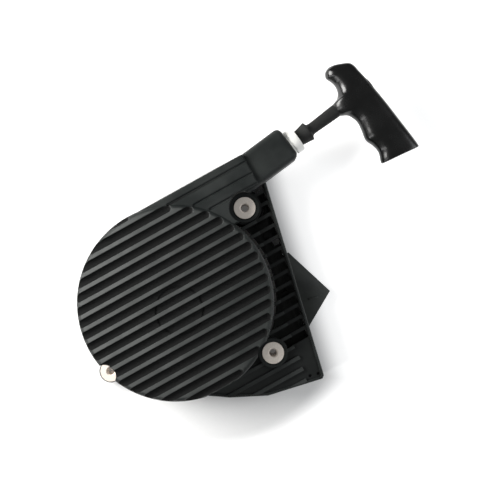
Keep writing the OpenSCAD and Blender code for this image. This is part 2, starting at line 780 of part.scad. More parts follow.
// The stem turned about the rope: flared collar, waist and tail
module stem_sleeve() {
    color(BLACK) along_rope(collar_x) rotate_extrude() polygon([[rope_r + 0.35, 0],
        [collar_r - 0.5, 0], [collar_r, 0.5], [collar_back_r, collar_l - 1.2],
        [collar_back_r - 0.5, collar_l], [stem_r + 0.8, collar_l + 1], [stem_r, collar_l + 3],
        [stem_r + 0.7, 38], [stem_r + 0.7, stem_l], [rope_r + 0.35, stem_l]]);
}

// Stations of the handle: inner point, outer point (along the rope, across it) and half thickness
grip_stations = [
    [52.6, 32.2, 57.0, 32.7, 0.30], [50.2, 30.2, 62.6, 30.4, 0.62], [48.6, 26.3, 71.0, 25.6, 0.82],
    [50.1, 21.9, 73.4, 21.2, 0.90], [50.9, 17.2, 73.9, 16.0, 0.93], [49.6, 11.6, 74.5, 11.0, 0.95],
    [45.6, 7.2, 75.0, 6.6, 0.97], [39.5, 5.2, 75.4, 2.6, 0.98], [37.5, 0.0, 75.7, -2.0, 1.00],
    [39.5, -5.4, 75.9, -7.0, 1.00], [45.2, -9.6, 76.1, -11.5, 1.00], [48.0, -17.6, 76.4, -19.5, 1.00],
    [46.9, -25.7, 76.6, -29.0, 1.00], [44.7, -34.7, 76.8, -38.5, 1.00],
    [46.8, -42.2, 77.0, -47.5, 0.98], [47.2, -49.5, 77.1, -56.0, 0.95],
    [43.8, -57.6, 77.0, -64.4, 0.90], [46.0, -59.4, 75.6, -65.2, 0.80]];

// Smooth curve through the stations
function blend4(p0, p1, p2, p3, t) = 0.5 * (2 * p1 + (p2 - p0) * t
    + (2 * p0 - 5 * p1 + 4 * p2 - p3) * t * t + (3 * p1 - 3 * p2 + p3 - p0) * t * t * t);
function smooth_list(s, steps) = let (n = len(s)) concat([for (i = [0:n - 2], k = [0:steps - 1])
    blend4(s[max(i - 1, 0)], s[i], s[i + 1], s[min(i + 2, n - 1)], k / steps)], [s[n - 1]]);
function signed_pow(v, e) = sign(v) * pow(abs(v), e);

// One section of the handle, rounder on the fingers' side than on the outer face
function grip_section(s, sides) = [for (k = [0:sides - 1])
    let (a = 360 * (k + 0.5) / sides, n = cos(a) > 0 ? 2.1 : 4.2,
        f = 0.5 - 0.5 * signed_pow(cos(a), 2 / n), z = grip_half * s[4] * signed_pow(sin(a), 2 / n))
    [s[0] + (s[2] - s[0]) * f, s[1] + (s[3] - s[1]) * f, z]];

module grip_solid() {
    sides = 20;
    st = smooth_list(grip_stations, 2);
    n = len(st);
    polyhedron(points = [for (s = st) each grip_section(s, sides)], faces = concat(
        [[for (k = [0:sides - 1]) k]],
        [for (i = [0:n - 2], k = [0:sides - 1]) [i * sides + k, (i + 1) * sides + k,
            (i + 1) * sides + (k + 1) % sides, i * sides + (k + 1) % sides]],
        [[for (k = [sides - 1:-1:0]) (n - 1) * sides + k]]), convexity = 6);
}

// The handle's own frame has its x on the rope and its origin at the collar's front
module in_handle() {
    rotate([0, 0, rope_angle]) translate([collar_x, coil_out, rope_z]) children();
}

module grip() {
    color(BLACK) in_handle() difference() {
        grip_solid();
        translate([30, 0, 0]) rotate([0, 90, 0])
            cylinder(r = stem_r + 0.7 + seat, h = stem_l - 30 + seat, $fn = 32);
        translate([30, 0, 0]) rotate([0, 90, 0]) cylinder(r = rope_r + 0.4, h = 40, $fn = 32);
        translate([pocket_x - seat, 0, 0]) rotate([0, 90, 0]) cylinder(r = pocket_r, h = 40, $fn = 32);
        translate([cap_x, 0, 0]) rotate([0, 90, 0]) cylinder(r = pocket_r + 1.6, h = 10, $fn = 32);
    }
}

module grip_cap() {
    color(BLACK) in_handle() rotate([0, 90, 0]) {
        translate([0, 0, cap_x + seat]) cylinder(r = pocket_r + 1.5, h = 2);
        translate([0, 0, cap_x - 2]) ring(pocket_r - seat, pocket_r - 1.2, 2 + 2 * seat);
    }
}

fan_housing();
air_guide();
air_guide_screws();
starter_post();
spring_cassette();
spring_cover();
cassette_screws();
rewind_spring();
rope_bush();
boss_sleeves();
lug_sleeve();
thrust_washer();
e_clip();
rope_rotor();
rotor_bush();
rope_coil();
rotor_knot();
pawl_pins();
pawl_a();
pawl_b();
friction_clip();
rope_run();
handle_knot();
knot_washer();
grip();
stem_sleeve();
grip_cap();
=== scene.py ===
"""Looks of a recoil starter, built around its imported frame.

The frame gives every piece its place. This script rebuilds the visible pieces in finer detail, gives
each one a procedural finish, and sets up a plain studio. Sizes are in millimetres until a mesh is
made, and each piece lies in the frame of the part: the origin is on the starter post in the plane
of the rim, +Z points out of the ribbed face and +X runs along the ribs towards the handle.
"""

from __future__ import annotations

import logging
import math
from collections.abc import Callable, Sequence
from dataclasses import dataclass, field
from enum import Enum

import bmesh
import bpy
import numpy as np
from mathutils import Matrix, Vector


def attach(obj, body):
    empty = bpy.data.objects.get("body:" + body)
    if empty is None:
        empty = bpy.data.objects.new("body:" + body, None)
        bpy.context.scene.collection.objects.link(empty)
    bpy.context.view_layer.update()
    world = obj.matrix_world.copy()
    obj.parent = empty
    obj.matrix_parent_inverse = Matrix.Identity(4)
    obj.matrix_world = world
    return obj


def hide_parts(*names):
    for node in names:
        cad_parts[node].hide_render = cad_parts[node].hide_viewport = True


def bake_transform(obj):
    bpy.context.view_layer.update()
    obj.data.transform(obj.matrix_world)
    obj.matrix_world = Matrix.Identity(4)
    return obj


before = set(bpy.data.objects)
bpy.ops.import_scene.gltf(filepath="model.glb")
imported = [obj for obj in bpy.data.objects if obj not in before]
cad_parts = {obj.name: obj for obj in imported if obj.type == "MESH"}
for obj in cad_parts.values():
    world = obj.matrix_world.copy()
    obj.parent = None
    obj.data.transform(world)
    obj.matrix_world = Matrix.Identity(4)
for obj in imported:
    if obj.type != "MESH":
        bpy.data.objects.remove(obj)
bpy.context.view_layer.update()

MM = 0.001
LOG = logging.getLogger("recoil_starter")

Point2 = tuple[float, float]
Colour = tuple[float, float, float]
Value = "Field | float | int | Sequence[float]"


# ------------------------------------------------------------------ node trees


class Field:
    """A socket's output that takes part in Python expressions."""

    def __init__(self, nodes: Nodes, socket: bpy.types.NodeSocket) -> None:
        """Wraps one output.

        Args:
            nodes: The tree that the socket belongs to.
            socket: The output to wrap.
        """
        self.nodes = nodes
        self.socket = socket

    def __add__(self, other: Value) -> Field:
        """Sum."""
        return self.nodes.math("ADD", self, other)

    __radd__ = __add__

    def __sub__(self, other: Value) -> Field:
        """Difference."""
        return self.nodes.math("SUBTRACT", self, other)

    def __rsub__(self, other: Value) -> Field:
        """Difference with this one taken away."""
        return self.nodes.math("SUBTRACT", other, self)

    def __mul__(self, other: Value) -> Field:
        """Product."""
        return self.nodes.math("MULTIPLY", self, other)

    __rmul__ = __mul__

    def __truediv__(self, other: Value) -> Field:
        """Quotient."""
        return self.nodes.math("DIVIDE", self, other)

    def __pow__(self, other: Value) -> Field:
        """Power."""
        return self.nodes.math("POWER", self, other)

    def at_least(self, low: Value) -> Field:
        """The larger of this and low."""
        return self.nodes.math("MAXIMUM", self, low)

    def at_most(self, high: Value) -> Field:
        """The smaller of this and high."""
        return self.nodes.math("MINIMUM", self, high)

    def root(self) -> Field:
        """Square root."""
        return self.nodes.math("SQRT", self)

    def sine(self) -> Field:
        """Sine of this angle in radians."""
        return self.nodes.math("SINE", self)

    def cosine(self) -> Field:
        """Cosine of this angle in radians."""
        return self.nodes.math("COSINE", self)

    def fraction(self) -> Field:
        """What is left after whole numbers are taken away."""
        return self.nodes.math("FRACT", self)

    def ramp(self, low: float, high: float, to: Point2 = (0.0, 1.0)) -> Field:
        """Maps low..high smoothly to the range given, and holds it outside.

        Args:
            low: Value where the change starts.
            high: Value where it ends.
            to: The two results.

        Returns:
            The mapped value.
        """
        return self.nodes.make(
            "ShaderNodeMapRange",
            {"interpolation_type": "SMOOTHSTEP"},
            {"Value": self, "From Min": low, "From Max": high, "To Min": to[0], "To Max": to[1]},
        )


class Nodes:
    """Makes nodes in one tree, for shaders and for geometry alike."""

    def __init__(self, tree: bpy.types.NodeTree) -> None:
        """Starts on an existing tree.

        Args:
            tree: The tree to fill.
        """
        self.tree = tree

    def make(
        self,
        kind: str,
        settings: dict[str, object] | None = None,
        values: dict[str | int, Value] | None = None,
        out: str | int = 0,
    ) -> Field:
        """Makes one node.

        Args:
            kind: The node's type.
            settings: Properties, set first.
            values: What each input socket is fed, by name or number.
            out: The output that is wanted.

        Returns:
            That output.
        """
        node = self.tree.nodes.new(kind)
        for key, value in (settings or {}).items():
            setattr(node, key, value)
        for key, value in (values or {}).items():
            self.feed(node.inputs[key], value)
        return Field(self, node.outputs[out])

    def feed(self, socket: bpy.types.NodeSocket, value: Value) -> None:
        """Links or sets one input socket."""
        if isinstance(value, Field):
            self.tree.links.new(value.socket, socket)
        elif isinstance(value, (bpy.types.ID, int, float)):
            socket.default_value = value
        else:
            wanted = len(socket.default_value)
            socket.default_value = (*value, 1.0) if len(value) < wanted else tuple(value)

    def math(self, operation: str, *inputs: Value) -> Field:
        """A Math node on numbers."""
        return self.make("ShaderNodeMath", {"operation": operation}, dict(enumerate(inputs)))

    def vector(self, x: Value, y: Value, z: Value) -> Field:
        """Three numbers as a vector."""
        return self.make("ShaderNodeCombineXYZ", None, {0: x, 1: y, 2: z})

    def parts(self, vector: Field) -> tuple[Field, Field, Field]:
        """A vector's three numbers."""
        split = self.make("ShaderNodeSeparateXYZ", None, {0: vector})
        outs = split.socket.node.outputs
        return Field(self, outs[0]), Field(self, outs[1]), Field(self, outs[2])

    def mix(self, factor: Value, a: Value, b: Value) -> Field:
        """Mixes two colours."""
        return self.make(
            "ShaderNodeMix", {"data_type": "RGBA", "clamp_factor": True}, {0: factor, 6: a, 7: b}, out=2
        )


class Recipe:
    """A Geometry Nodes tree with named sizes that is run once to make a plain mesh."""

    def __init__(self, name: str) -> None:
        """Starts an empty tree.

        Args:
            name: The tree's name.
        """
        self.tree = bpy.data.node_groups.new(name, "GeometryNodeTree")
        self.nodes = Nodes(self.tree)
        self.values: dict[str, float] = {}
        self.tree.interface.new_socket("Geometry", in_out="INPUT", socket_type="NodeSocketGeometry")
        self.tree.interface.new_socket("Geometry", in_out="OUTPUT", socket_type="NodeSocketGeometry")
        self.source = self.tree.nodes.new("NodeGroupInput")
        self.target = self.tree.nodes.new("NodeGroupOutput")

    @property
    def given(self) -> Field:
        """The mesh that the tree starts from."""
        return Field(self.nodes, self.source.outputs["Geometry"])

    def size(self, name: str, value: float) -> Field:
        """Adds a named input.

        Args:
            name: What it measures.
            value: Its size in millimetres, or a whole number for a count.

        Returns:
            The input as a field.
        """
        kind = "NodeSocketInt" if isinstance(value, int) else "NodeSocketFloat"
        socket = self.tree.interface.new_socket(name, in_out="INPUT", socket_type=kind)
        self.values[socket.identifier] = value
        return Field(self.nodes, self.source.outputs[name])

    def run(
        self, name: str, geometry: Field, finish: bpy.types.Material, start: Shape | None = None
    ) -> Shape:
        """Ends the tree, runs it and takes its result.

        Args:
            name: The name of the result.
            geometry: What the tree makes.
            finish: The material of its faces.
            start: A mesh that the tree reads, if it reads one.

        Returns:
            The result as a plain mesh.
        """
        real = self.nodes.make("GeometryNodeRealizeInstances", None, {0: geometry})
        dressed = self.nodes.make("GeometryNodeSetMaterial", None, {"Geometry": real, "Material": finish})
        self.nodes.feed(self.target.inputs[0], dressed)
        host = start or Shape.empty(name)
        modifier = host.obj.modifiers.new("recipe", "NODES")
        modifier.node_group = self.tree
        for identifier, value in self.values.items():
            modifier[identifier] = value
        host.bake()
        host.obj.name = name
        return host


# ------------------------------------------------------------------ shapes


# Limits that sort points and edges, in millimetres and for SHARP in radians.
ON_AXIS = 1e-9
LEVEL = 1e-6
SAME_R = 1e-4
SHARP = 0.5


class Cut(Enum):
    """What a boolean does with its tool."""

    AWAY = "DIFFERENCE"
    ADD = "UNION"
    KEEP = "INTERSECT"


class Shape:
    """A mesh object in millimetres that becomes a piece."""

    def __init__(self, obj: bpy.types.Object) -> None:
        """Wraps an object.

        Args:
            obj: The mesh object.
        """
        self.obj = obj

    @classmethod
    def empty(cls, name: str) -> Shape:
        """An object with no faces."""
        obj = bpy.data.objects.new(name, bpy.data.meshes.new(name))
        bpy.context.scene.collection.objects.link(obj)
        return cls(obj)

    @classmethod
    def from_bmesh(cls, name: str, bm: bmesh.types.BMesh) -> Shape:
        """Takes over a bmesh, with its faces turned outwards."""
        bmesh.ops.recalc_face_normals(bm, faces=bm.faces[:])
        shape = cls.empty(name)
        bm.to_mesh(shape.obj.data)
        bm.free()
        return shape

    @classmethod
    def prism(
        cls, outline: Sequence[Point2], low: float, high: float, edge: float = 0.0, corners: float = 0.0
    ) -> Shape:
        """An outline raised from low to high.

        Args:
            outline: Its corners.
            low: Lower face.
            high: Upper face.
            edge: Radius that rounds the upper edge.
            corners: Radius that rounds the upright edges.

        Returns:
            The closed solid.
        """
        sides = rounded(outline, corners) if corners else list(outline)
        layers = [(0.0, low), (0.0, high - edge)]
        steps = 4 if edge else 0
        for i in range(1, steps + 1):
            turn = math.pi / 2 * i / steps
            layers.append((edge * (1 - math.cos(turn)), high - edge + edge * math.sin(turn)))
        return cls.loft("prism", [[(x, y, z) for x, y in inset(sides, d)] for d, z in layers])

    @classmethod
    def lathe(cls, profile: Sequence[Point2], steps: int = 96, edge: float = 0.0) -> Shape:
        """A closed outline of (radius, height) turned about Z.

        Args:
            profile: The outline, starting and ending on the axis or closed around a bore.
            steps: Faces around.
            edge: Radius that rounds the turned edges.

        Returns:
            The closed solid, with each point's radius kept in the attribute "turned".
        """
        bm = bmesh.new()
        rings: list[list[bmesh.types.BMVert]] = []
        for r, z in profile:
            if r < ON_AXIS:
                rings.append([bm.verts.new((0, 0, z))])
            else:
                angles = [2 * math.pi * i / steps for i in range(steps)]
                rings.append([bm.verts.new((r * math.cos(a), r * math.sin(a), z)) for a in angles])
        pairs = list(zip(rings, rings[1:]))
        if profile[0][0] > ON_AXIS or profile[-1][0] > ON_AXIS:
            pairs.append((rings[-1], rings[0]))
        for low, high in pairs:
            for i in range(steps if len(low) + len(high) > 2 else 0):
                j = (i + 1) % steps
                ring = [low[i % len(low)], low[j % len(low)], high[j % len(high)], high[i % len(high)]]
                bm.faces.new(list(dict.fromkeys(ring)))
        if edge:
            hoops = [e for e in bm.edges if e.calc_face_angle(0) > SHARP and _is_hoop(e)]
            bmesh.ops.bevel(bm, geom=hoops, offset=edge, segments=3, profile=0.5, affect="EDGES")
        shape = cls.from_bmesh("lathe", bm)
        shape.mark("turned", lambda co: np.hypot(co[:, 0], co[:, 1]))
        return shape

    @classmethod
    def cylinder(cls, r: float, low: float, high: float, at: Point2 = (0, 0), edge: float = 0.0) -> Shape:
        """An upright cylinder, with more faces round a large one."""
        steps = 192 if r > 40 else 72
        outline = [(0, low), (r, low), (r, high), (0, high)]
        return cls.lathe(outline, steps, edge).move(Matrix.Translation((*at, 0)))

    @classmethod
    def box(cls, low: Sequence[float], high: Sequence[float]) -> Shape:
        """A box between two corners."""
        outline = [(low[0], low[1]), (high[0], low[1]), (high[0], high[1]), (low[0], high[1])]
        return cls.prism(outline, low[2], high[2])

    @classmethod
    def loft(cls, name: str, sections: Sequence[Sequence[Sequence[float]]]) -> Shape:
        """A closed skin over sections with the same number of points."""
        bm = bmesh.new()
        rings = [[bm.verts.new(p) for p in s] for s in sections]
        count = len(rings[0])
        for a, b in zip(rings, rings[1:]):
            for i in range(count):
                bm.faces.new((a[i], a[(i + 1) % count], b[(i + 1) % count], b[i]))
        bm.faces.new(rings[0])
        bm.faces.new(rings[-1])
        return cls.from_bmesh(name, bm)

    @classmethod
    def from_node(cls, node: str, edge: float) -> Shape:
        """A merged copy of a CAD node with its edges rounded.

        Args:
            node: The node's name.
            edge: Radius of its edges.

        Returns:
            The copy in millimetres.
        """
        bm = bmesh.new()
        bm.from_mesh(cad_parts[node].data)
        bmesh.ops.scale(bm, vec=(1 / MM,) * 3, verts=bm.verts[:])
        bmesh.ops.remove_doubles(bm, verts=bm.verts[:], dist=1e-3)
        bmesh.ops.dissolve_limit(bm, angle_limit=math.radians(0.5), verts=bm.verts[:], edges=bm.edges[:])
        shape = cls.empty(node)
        bm.to_mesh(shape.obj.data)
        bm.free()
        if edge:
            bevel = shape.obj.modifiers.new("edges", "BEVEL")
            bevel.width = edge
            bevel.segments = 2
            bevel.limit_method = "ANGLE"
            bevel.angle_limit = math.radians(35)
            bevel.use_clamp_overlap = True
            shape.bake()
        return shape

    def bake(self) -> Shape:
        """Replaces the mesh by what its modifiers make of it."""
        graph = bpy.context.evaluated_depsgraph_get()
        result = bpy.data.meshes.new_from_object(self.obj.evaluated_get(graph))
        self.obj.modifiers.clear()
        old = self.obj.data
        self.obj.data = result
        bpy.data.meshes.remove(old)
        return self

    def move(self, matrix: Matrix) -> Shape:
        """Moves the mesh itself."""
        self.obj.data.transform(matrix)
        return self

    def carve(self, how: Cut, *tools: Shape) -> Shape:
        """Cuts, adds or keeps other solids, which are used up.

        Args:
            how: What to do.
            tools: The other solids.

        Returns:
            This shape.
        """
        for tool in tools:
            modifier = self.obj.modifiers.new("carve", "BOOLEAN")
            modifier.operation = how.value
            modifier.solver = "MANIFOLD"
            modifier.object = tool.obj
        self.bake()
        for tool in tools:
            bpy.data.objects.remove(tool.obj)
        return self

    def mark(self, name: str, rule: Callable[[np.ndarray], np.ndarray]) -> Shape:
        """Keeps a number on each vertex, worked out from its place."""
        mesh = self.obj.data
        places = np.empty(len(mesh.vertices) * 3, np.float32)
        mesh.vertices.foreach_get("co", places)
        layer = mesh.attributes.get(name) or mesh.attributes.new(name, "FLOAT", "POINT")
        layer.data.foreach_set("value", rule(places.reshape(-1, 3)).astype(np.float32))
        return self

    def piece(
        self,
        name: str,
        body: str | None,
        slot: str,
        finish: bpy.types.Material,
        nodes: Sequence[str] = (),
        smooth: float = 32.0,
    ) -> bpy.types.Object:
        """Turns the shape into a finished piece of the part.

        Args:
            name: The piece's name.
            body: The body it moves with, or None if it is to bend between two.
            slot: The record's material slot; not used.
            finish: Its material.
            nodes: CAD nodes that it stands for.
            smooth: Edges flatter than this angle in degrees shade smoothly.

        Returns:
            The object in metres.
        """
        self.obj.name = name
        mesh = self.obj.data
        mesh.name = name
        mesh.transform(Matrix.Scale(MM, 4))
        mesh.shade_smooth()
        mesh.set_sharp_from_angle(angle=math.radians(smooth))
        mesh.materials.clear()
        mesh.materials.append(finish)
        if body:
            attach(self.obj, body)
        if nodes:
            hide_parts(*nodes)
        LOG.info("%s: %d faces on %s", name, len(mesh.polygons), body)
        return self.obj


def _is_hoop(edge: bmesh.types.BMEdge) -> bool:
    """Whether an edge runs around the Z axis."""
    a, b = edge.verts
    level = abs(a.co.z - b.co.z) < LEVEL
    return level and abs(a.co.xy.length - b.co.xy.length) < SAME_R and a.co.xy.length > LEVEL


def inset(outline: Sequence[Point2], distance: float) -> list[Point2]:
    """Moves each side of a clockwise outline inwards.

    Args:
        outline: Its corners.
        distance: How far each side moves.

    Returns:
        The new corners.
    """
    moved = []
    for i, b in enumerate(outline):
        a, c = Vector(outline[i - 1]), Vector(outline[(i + 1) % len(outline)])
        u, v = (Vector(b) - a).normalized(), (c - Vector(b)).normalized()
        nu, nv = Vector((u.y, -u.x)), Vector((v.y, -v.x))
        moved.append(tuple(Vector(b) + (nu + nv) * distance / (1 + nu.dot(nv))))
    return moved


def rounded(outline: Sequence[Point2], radius: float) -> list[Point2]:
    """Rounds the corners of an outline.

    Args:
        outline: Its corners.
        radius: Radius of the arcs, less where a side is too short.

    Returns:
        The finer outline.
    """
    steps, longest = 6, 0.45
    fine: list[Point2] = []
    for i, place in enumerate(outline):
        b = Vector(place)
        a, c = Vector(outline[i - 1]) - b, Vector(outline[(i + 1) % len(outline)]) - b
        half = a.angle(c) / 2
        reach = min(radius / math.tan(half), a.length * longest, c.length * longest)
        start, end = b + a.normalized() * reach, b + c.normalized() * reach
        for k in range(steps + 1):
            t = k / steps
            fine.append(tuple(start * (1 - t) ** 2 + b * (2 * t * (1 - t)) + end * t * t))
    return fine


def signed_power(value: float, exponent: float) -> float:
    """A power that keeps the sign."""
    return math.copysign(abs(value) ** exponent, value)


def smooth_stations(rows: Sequence[Sequence[float]], steps: int) -> list[list[float]]:
    """A smooth curve through rows of numbers.

    Args:
        rows: The rows that it passes through.
        steps: How many rows come out for each one that goes in.

    Returns:
        The finer rows.
    """
    table = np.array(rows, float)
    fine = []
    for i in range(len(table) - 1):
        p0, p1 = table[max(i - 1, 0)], table[i]
        p2, p3 = table[i + 1], table[min(i + 2, len(table) - 1)]
        for k in range(steps):
            t = k / steps
            square = (2 * p0 - 5 * p1 + 4 * p2 - p3) * t * t
            fine.append(list(0.5 * (2 * p1 + (p2 - p0) * t + square + (3 * p1 - 3 * p2 + p3 - p0) * t**3)))
    fine.append(list(table[-1]))
    return fine


# ------------------------------------------------------------------ finishes


class Surface:
    """A material in the making, in millimetres of the piece's own space."""

    def __init__(self, name: str) -> None:
        """Starts an empty material.

        Args:
            name: The material's name.
        """
        self.material = bpy.data.materials.new(name)
        self.material.use_nodes = True
        tree = self.material.node_tree
        tree.nodes.clear()
        self.nodes = Nodes(tree)
        self.place = self.nodes.make("ShaderNodeTexCoord", out="Object")

    def noise(self, size: float, detail: float = 2.0, stretch: Sequence[float] = (1, 1, 1)) -> Field:
        """Soft random patches.

        Args:
            size: Their size in millimetres.
            detail: How many finer layers they have.
            stretch: How much finer they are along each axis.

        Returns:
            A number from 0 to 1.
        """
        where = self.nodes.make("ShaderNodeMapping", None, {"Vector": self.place, "Scale": stretch})
        return self.nodes.make(
            "ShaderNodeTexNoise",
            {"noise_dimensions": "3D"},
            {"Vector": where, "Scale": 1 / (size * MM), "Detail": detail, "Roughness": 0.55},
        )

    def cells(self, size: float) -> Field:
        """Distance to the middle of random cells of a size in millimetres."""
        inputs = {"Vector": self.place, "Scale": 1 / (size * MM)}
        return self.nodes.make("ShaderNodeTexVoronoi", None, inputs)

    def own(self, attribute: str) -> Field:
        """A number kept on the mesh."""
        return self.nodes.make("ShaderNodeAttribute", {"attribute_name": attribute}, out="Fac")

    def done(
        self,
        colour: Value,
        roughness: Value,
        height: Field,
        depth: float,
        soft_edge: float = 0.0,
        fixed: dict[str, Value] | None = None,
    ) -> bpy.types.Material:
        """Joins everything to the shader.

        Args:
            colour: Base colour.
            roughness: Roughness.
            height: Relief from 0 to 1.
            depth: Depth of the relief in millimetres.
            soft_edge: Radius in millimetres over which sharp edges look rounded.
            fixed: Other inputs of the shader, the same all over.

        Returns:
            The material.
        """
        relief: dict[str | int, Value] = {"Height": height, "Strength": 1.0, "Distance": depth * MM}
        if soft_edge:
            radius = {"Radius": soft_edge * MM}
            relief["Normal"] = self.nodes.make("ShaderNodeBevel", {"samples": 4}, radius)
        normal = self.nodes.make("ShaderNodeBump", None, relief)
        values: dict[str | int, Value] = {"Base Color": colour, "Roughness": roughness, "Normal": normal}
        values.update(fixed or {})
        shader = self.nodes.make("ShaderNodeBsdfPrincipled", None, values)
        end = self.nodes.tree.nodes.new("ShaderNodeOutputMaterial")
        self.nodes.feed(end.inputs["Surface"], shader)
        return self.material


@dataclass(frozen=True)
class Finish:
    """A finish whose material is made the first time that it is asked for."""

    name: str

    @property
    def material(self) -> bpy.types.Material:
        """The finish's material."""
        return bpy.data.materials.get(self.name) or self.make()

    def make(self) -> bpy.types.Material:
        """Makes the material."""
        raise NotImplementedError


@dataclass(frozen=True)
class Moulded(Finish):
    """Moulded plastic with a fine grain, faint cloudiness and a thin film of dust.

    Where the mesh has the attribute "relief", painted shade darkens its matt hollows and a painted
    highlight pales its crests.
    """

    tone: Colour
    cloud: Colour
    dust: Colour
    roughness: Point2
    grain: float = 0.35
    depth: float = 0.02
    dustiness: float = 0.1
    soft_edge: float = 0.0
    specular: float = 0.5
    coat: float = 0.0
    # Colour of the painted shade in hollows.
    hollow: Colour = (0.0012, 0.0014, 0.0014)
    # Colour of the painted highlight on crests.
    crest_highlight: Colour = (0.084, 0.088, 0.086)
    matt: float = 0.92

    def make(self) -> bpy.types.Material:
        """Makes the material."""
        s = Surface(self.name)
        cloudy = s.noise(size=22, detail=3).ramp(0.35, 0.68)
        fine = s.noise(self.grain)
        specks = 1 - s.cells(size=2.6).ramp(0.05, 0.16)
        relief = s.own("relief")
        hollow, crest = (relief * -1).at_least(0.0), relief.at_least(0.0)
        dust = (s.noise(size=34, detail=4).ramp(0.42, 0.75) * 0.7 + specks * 0.3) * self.dustiness
        plain = s.nodes.mix(dust, s.nodes.mix(cloudy, self.tone, self.cloud), self.dust)
        # Painted shade: hollows turn towards the shade colour.
        shaded = s.nodes.mix(hollow, plain, self.hollow)
        # Painted highlight: crests turn towards the highlight colour, a little more where the plastic is
        # cloudy.
        colour = s.nodes.mix(crest * (0.75 + cloudy * 0.25), shaded, self.crest_highlight)
        rough = (cloudy * 0.4 + fine * 0.6).ramp(0.2, 0.8, self.roughness).at_least(hollow * self.matt)
        height = fine * 0.8 + s.noise(self.grain * 5, 1) * 0.2
        fixed = {"Specular IOR Level": self.specular, "Coat Weight": self.coat, "Coat Roughness": 0.12}
        return s.done(colour, rough, height, self.depth, self.soft_edge, fixed)


@dataclass(frozen=True)
class Turned(Finish):
    """Bare metal with fine turning marks round its axis."""

    tone: Colour
    stain: Colour
    roughness: Point2
    marks: float = 0.28
    depth: float = 0.015
    metallic: float = 1.0

    def make(self) -> bpy.types.Material:
        """Makes the material."""
        s = Surface(self.name)
        radius = s.own("turned")
        wobble = s.noise(size=2.5) * 0.25
        rings = (((radius + wobble) * (2 * math.pi / self.marks)).sine() * 0.5 + 0.5) * 0.5
        broad = (radius * (2 * math.pi / (self.marks * 4.3))).sine() * 0.25 + 0.25
        patch = s.noise(size=3.2, detail=4).ramp(0.4, 0.7)
        colour = s.nodes.mix(patch * 0.55 + rings * 0.3, self.tone, self.stain)
        rough = (patch * 0.6 + rings * 0.4).ramp(0.1, 0.9, self.roughness)
        return s.done(colour, rough, rings + broad, self.depth, 0, {"Metallic": self.metallic})


@dataclass(frozen=True)
class Pressed(Finish):
    """Rolled or pressed steel with fine scratches along one axis and faint stains."""

    tone: Colour
    stain: Colour
    roughness: Point2
    depth: float = 0.006
    metallic: float = 1.0

    def make(self) -> bpy.types.Material:
        """Makes the material."""
        s = Surface(self.name)
        scratches = s.noise(size=0.5, detail=3, stretch=(1, 0.08, 1))
        patch = s.noise(size=5, detail=4).ramp(0.42, 0.72)
        colour = s.nodes.mix(patch * 0.6 + scratches * 0.2, self.tone, self.stain)
        rough = (scratches * 0.6 + patch * 0.4).ramp(0.2, 0.8, self.roughness)
        return s.done(colour, rough, scratches, self.depth, 0, {"Metallic": self.metallic})


@dataclass(frozen=True)
class Braided(Finish):
    """Polyester strands of a braided rope, with single fibres and a little grime."""

    tone: Colour
    grime: Colour
    fibre: float = 0.18
    roughness: Point2 = (0.7, 0.95)
    depth: float = 0.05
    sheen: float = 0.3

    def make(self) -> bpy.types.Material:
        """Makes the material."""
        s = Surface(self.name)
        fibres = s.noise(self.fibre, stretch=(1, 1, 0.35))
        grime = s.noise(size=7, detail=4).ramp(0.45, 0.8)
        colour = s.nodes.mix(grime * 0.5 + fibres * 0.2, self.tone, self.grime)
        rough = fibres.ramp(0.2, 0.8, self.roughness)
        return s.done(colour, rough, fibres, self.depth, 0, {"Sheen Weight": self.sheen})


HOUSING = Moulded(
    "charcoal_housing_plastic", (0.0100, 0.0122, 0.0119), (0.0150, 0.0175, 0.0170), (0.06, 0.066, 0.06),
    (0.42, 0.56), grain=0.4, dustiness=0.22, soft_edge=0.45, specular=0.27,
)
GUIDE = Moulded(
    "air_guide_plastic", (0.0115, 0.0145, 0.0135), (0.018, 0.0215, 0.0195), (0.09, 0.095, 0.085),
    (0.4, 0.6), grain=0.5, dustiness=0.3, soft_edge=0.3,
)
GRIP = Moulded(
    "glossy_grip_plastic", (0.0028, 0.0030, 0.0030), (0.0042, 0.0044, 0.0044), (0.02, 0.02, 0.02),
    (0.2, 0.3), grain=0.9, depth=0.006, dustiness=0.08, specular=0.4, coat=0.12,
)
STEM = Moulded(
    "matte_stem_rubber", (0.005, 0.0055, 0.0052), (0.008, 0.0085, 0.0082), (0.036, 0.037, 0.036),
    (0.55, 0.75), grain=0.3, depth=0.03, dustiness=0.15, specular=0.35,
)
NYLON = Moulded(
    "white_nylon", (0.40, 0.40, 0.38), (0.34, 0.34, 0.32), (0.28, 0.27, 0.24),
    (0.6, 0.75), grain=0.5, depth=0.01, dustiness=0.12, specular=0.15,
)
ROTOR = Moulded(
    "rotor_plastic", (0.46, 0.40, 0.28), (0.40, 0.345, 0.235), (0.2, 0.18, 0.15),
    (0.32, 0.5), grain=0.5, depth=0.015, dustiness=0.25,
)
CASSETTE = Moulded(
    "cassette_plastic", (0.016, 0.016, 0.016), (0.024, 0.024, 0.024), (0.1, 0.1, 0.095),
    (0.35, 0.5), grain=0.4, dustiness=0.2, soft_edge=0.2,
)
SLEEVE_STEEL = Turned(
    "turned_sleeve_steel", (0.92, 0.84, 0.76), (0.76, 0.68, 0.60), (0.24, 0.42), metallic=0.1,
)
BRIGHT_STEEL = Turned(
    "bright_turned_steel", (0.62, 0.62, 0.61), (0.45, 0.44, 0.42), (0.2, 0.36), marks=0.22, depth=0.008,
)
SPRING_STEEL = Pressed("blued_spring_steel", (0.22, 0.23, 0.26), (0.13, 0.12, 0.12), (0.25, 0.42))
SCREW_STEEL = Pressed("black_screw_steel", (0.16, 0.16, 0.165), (0.08, 0.08, 0.08), (0.35, 0.55))
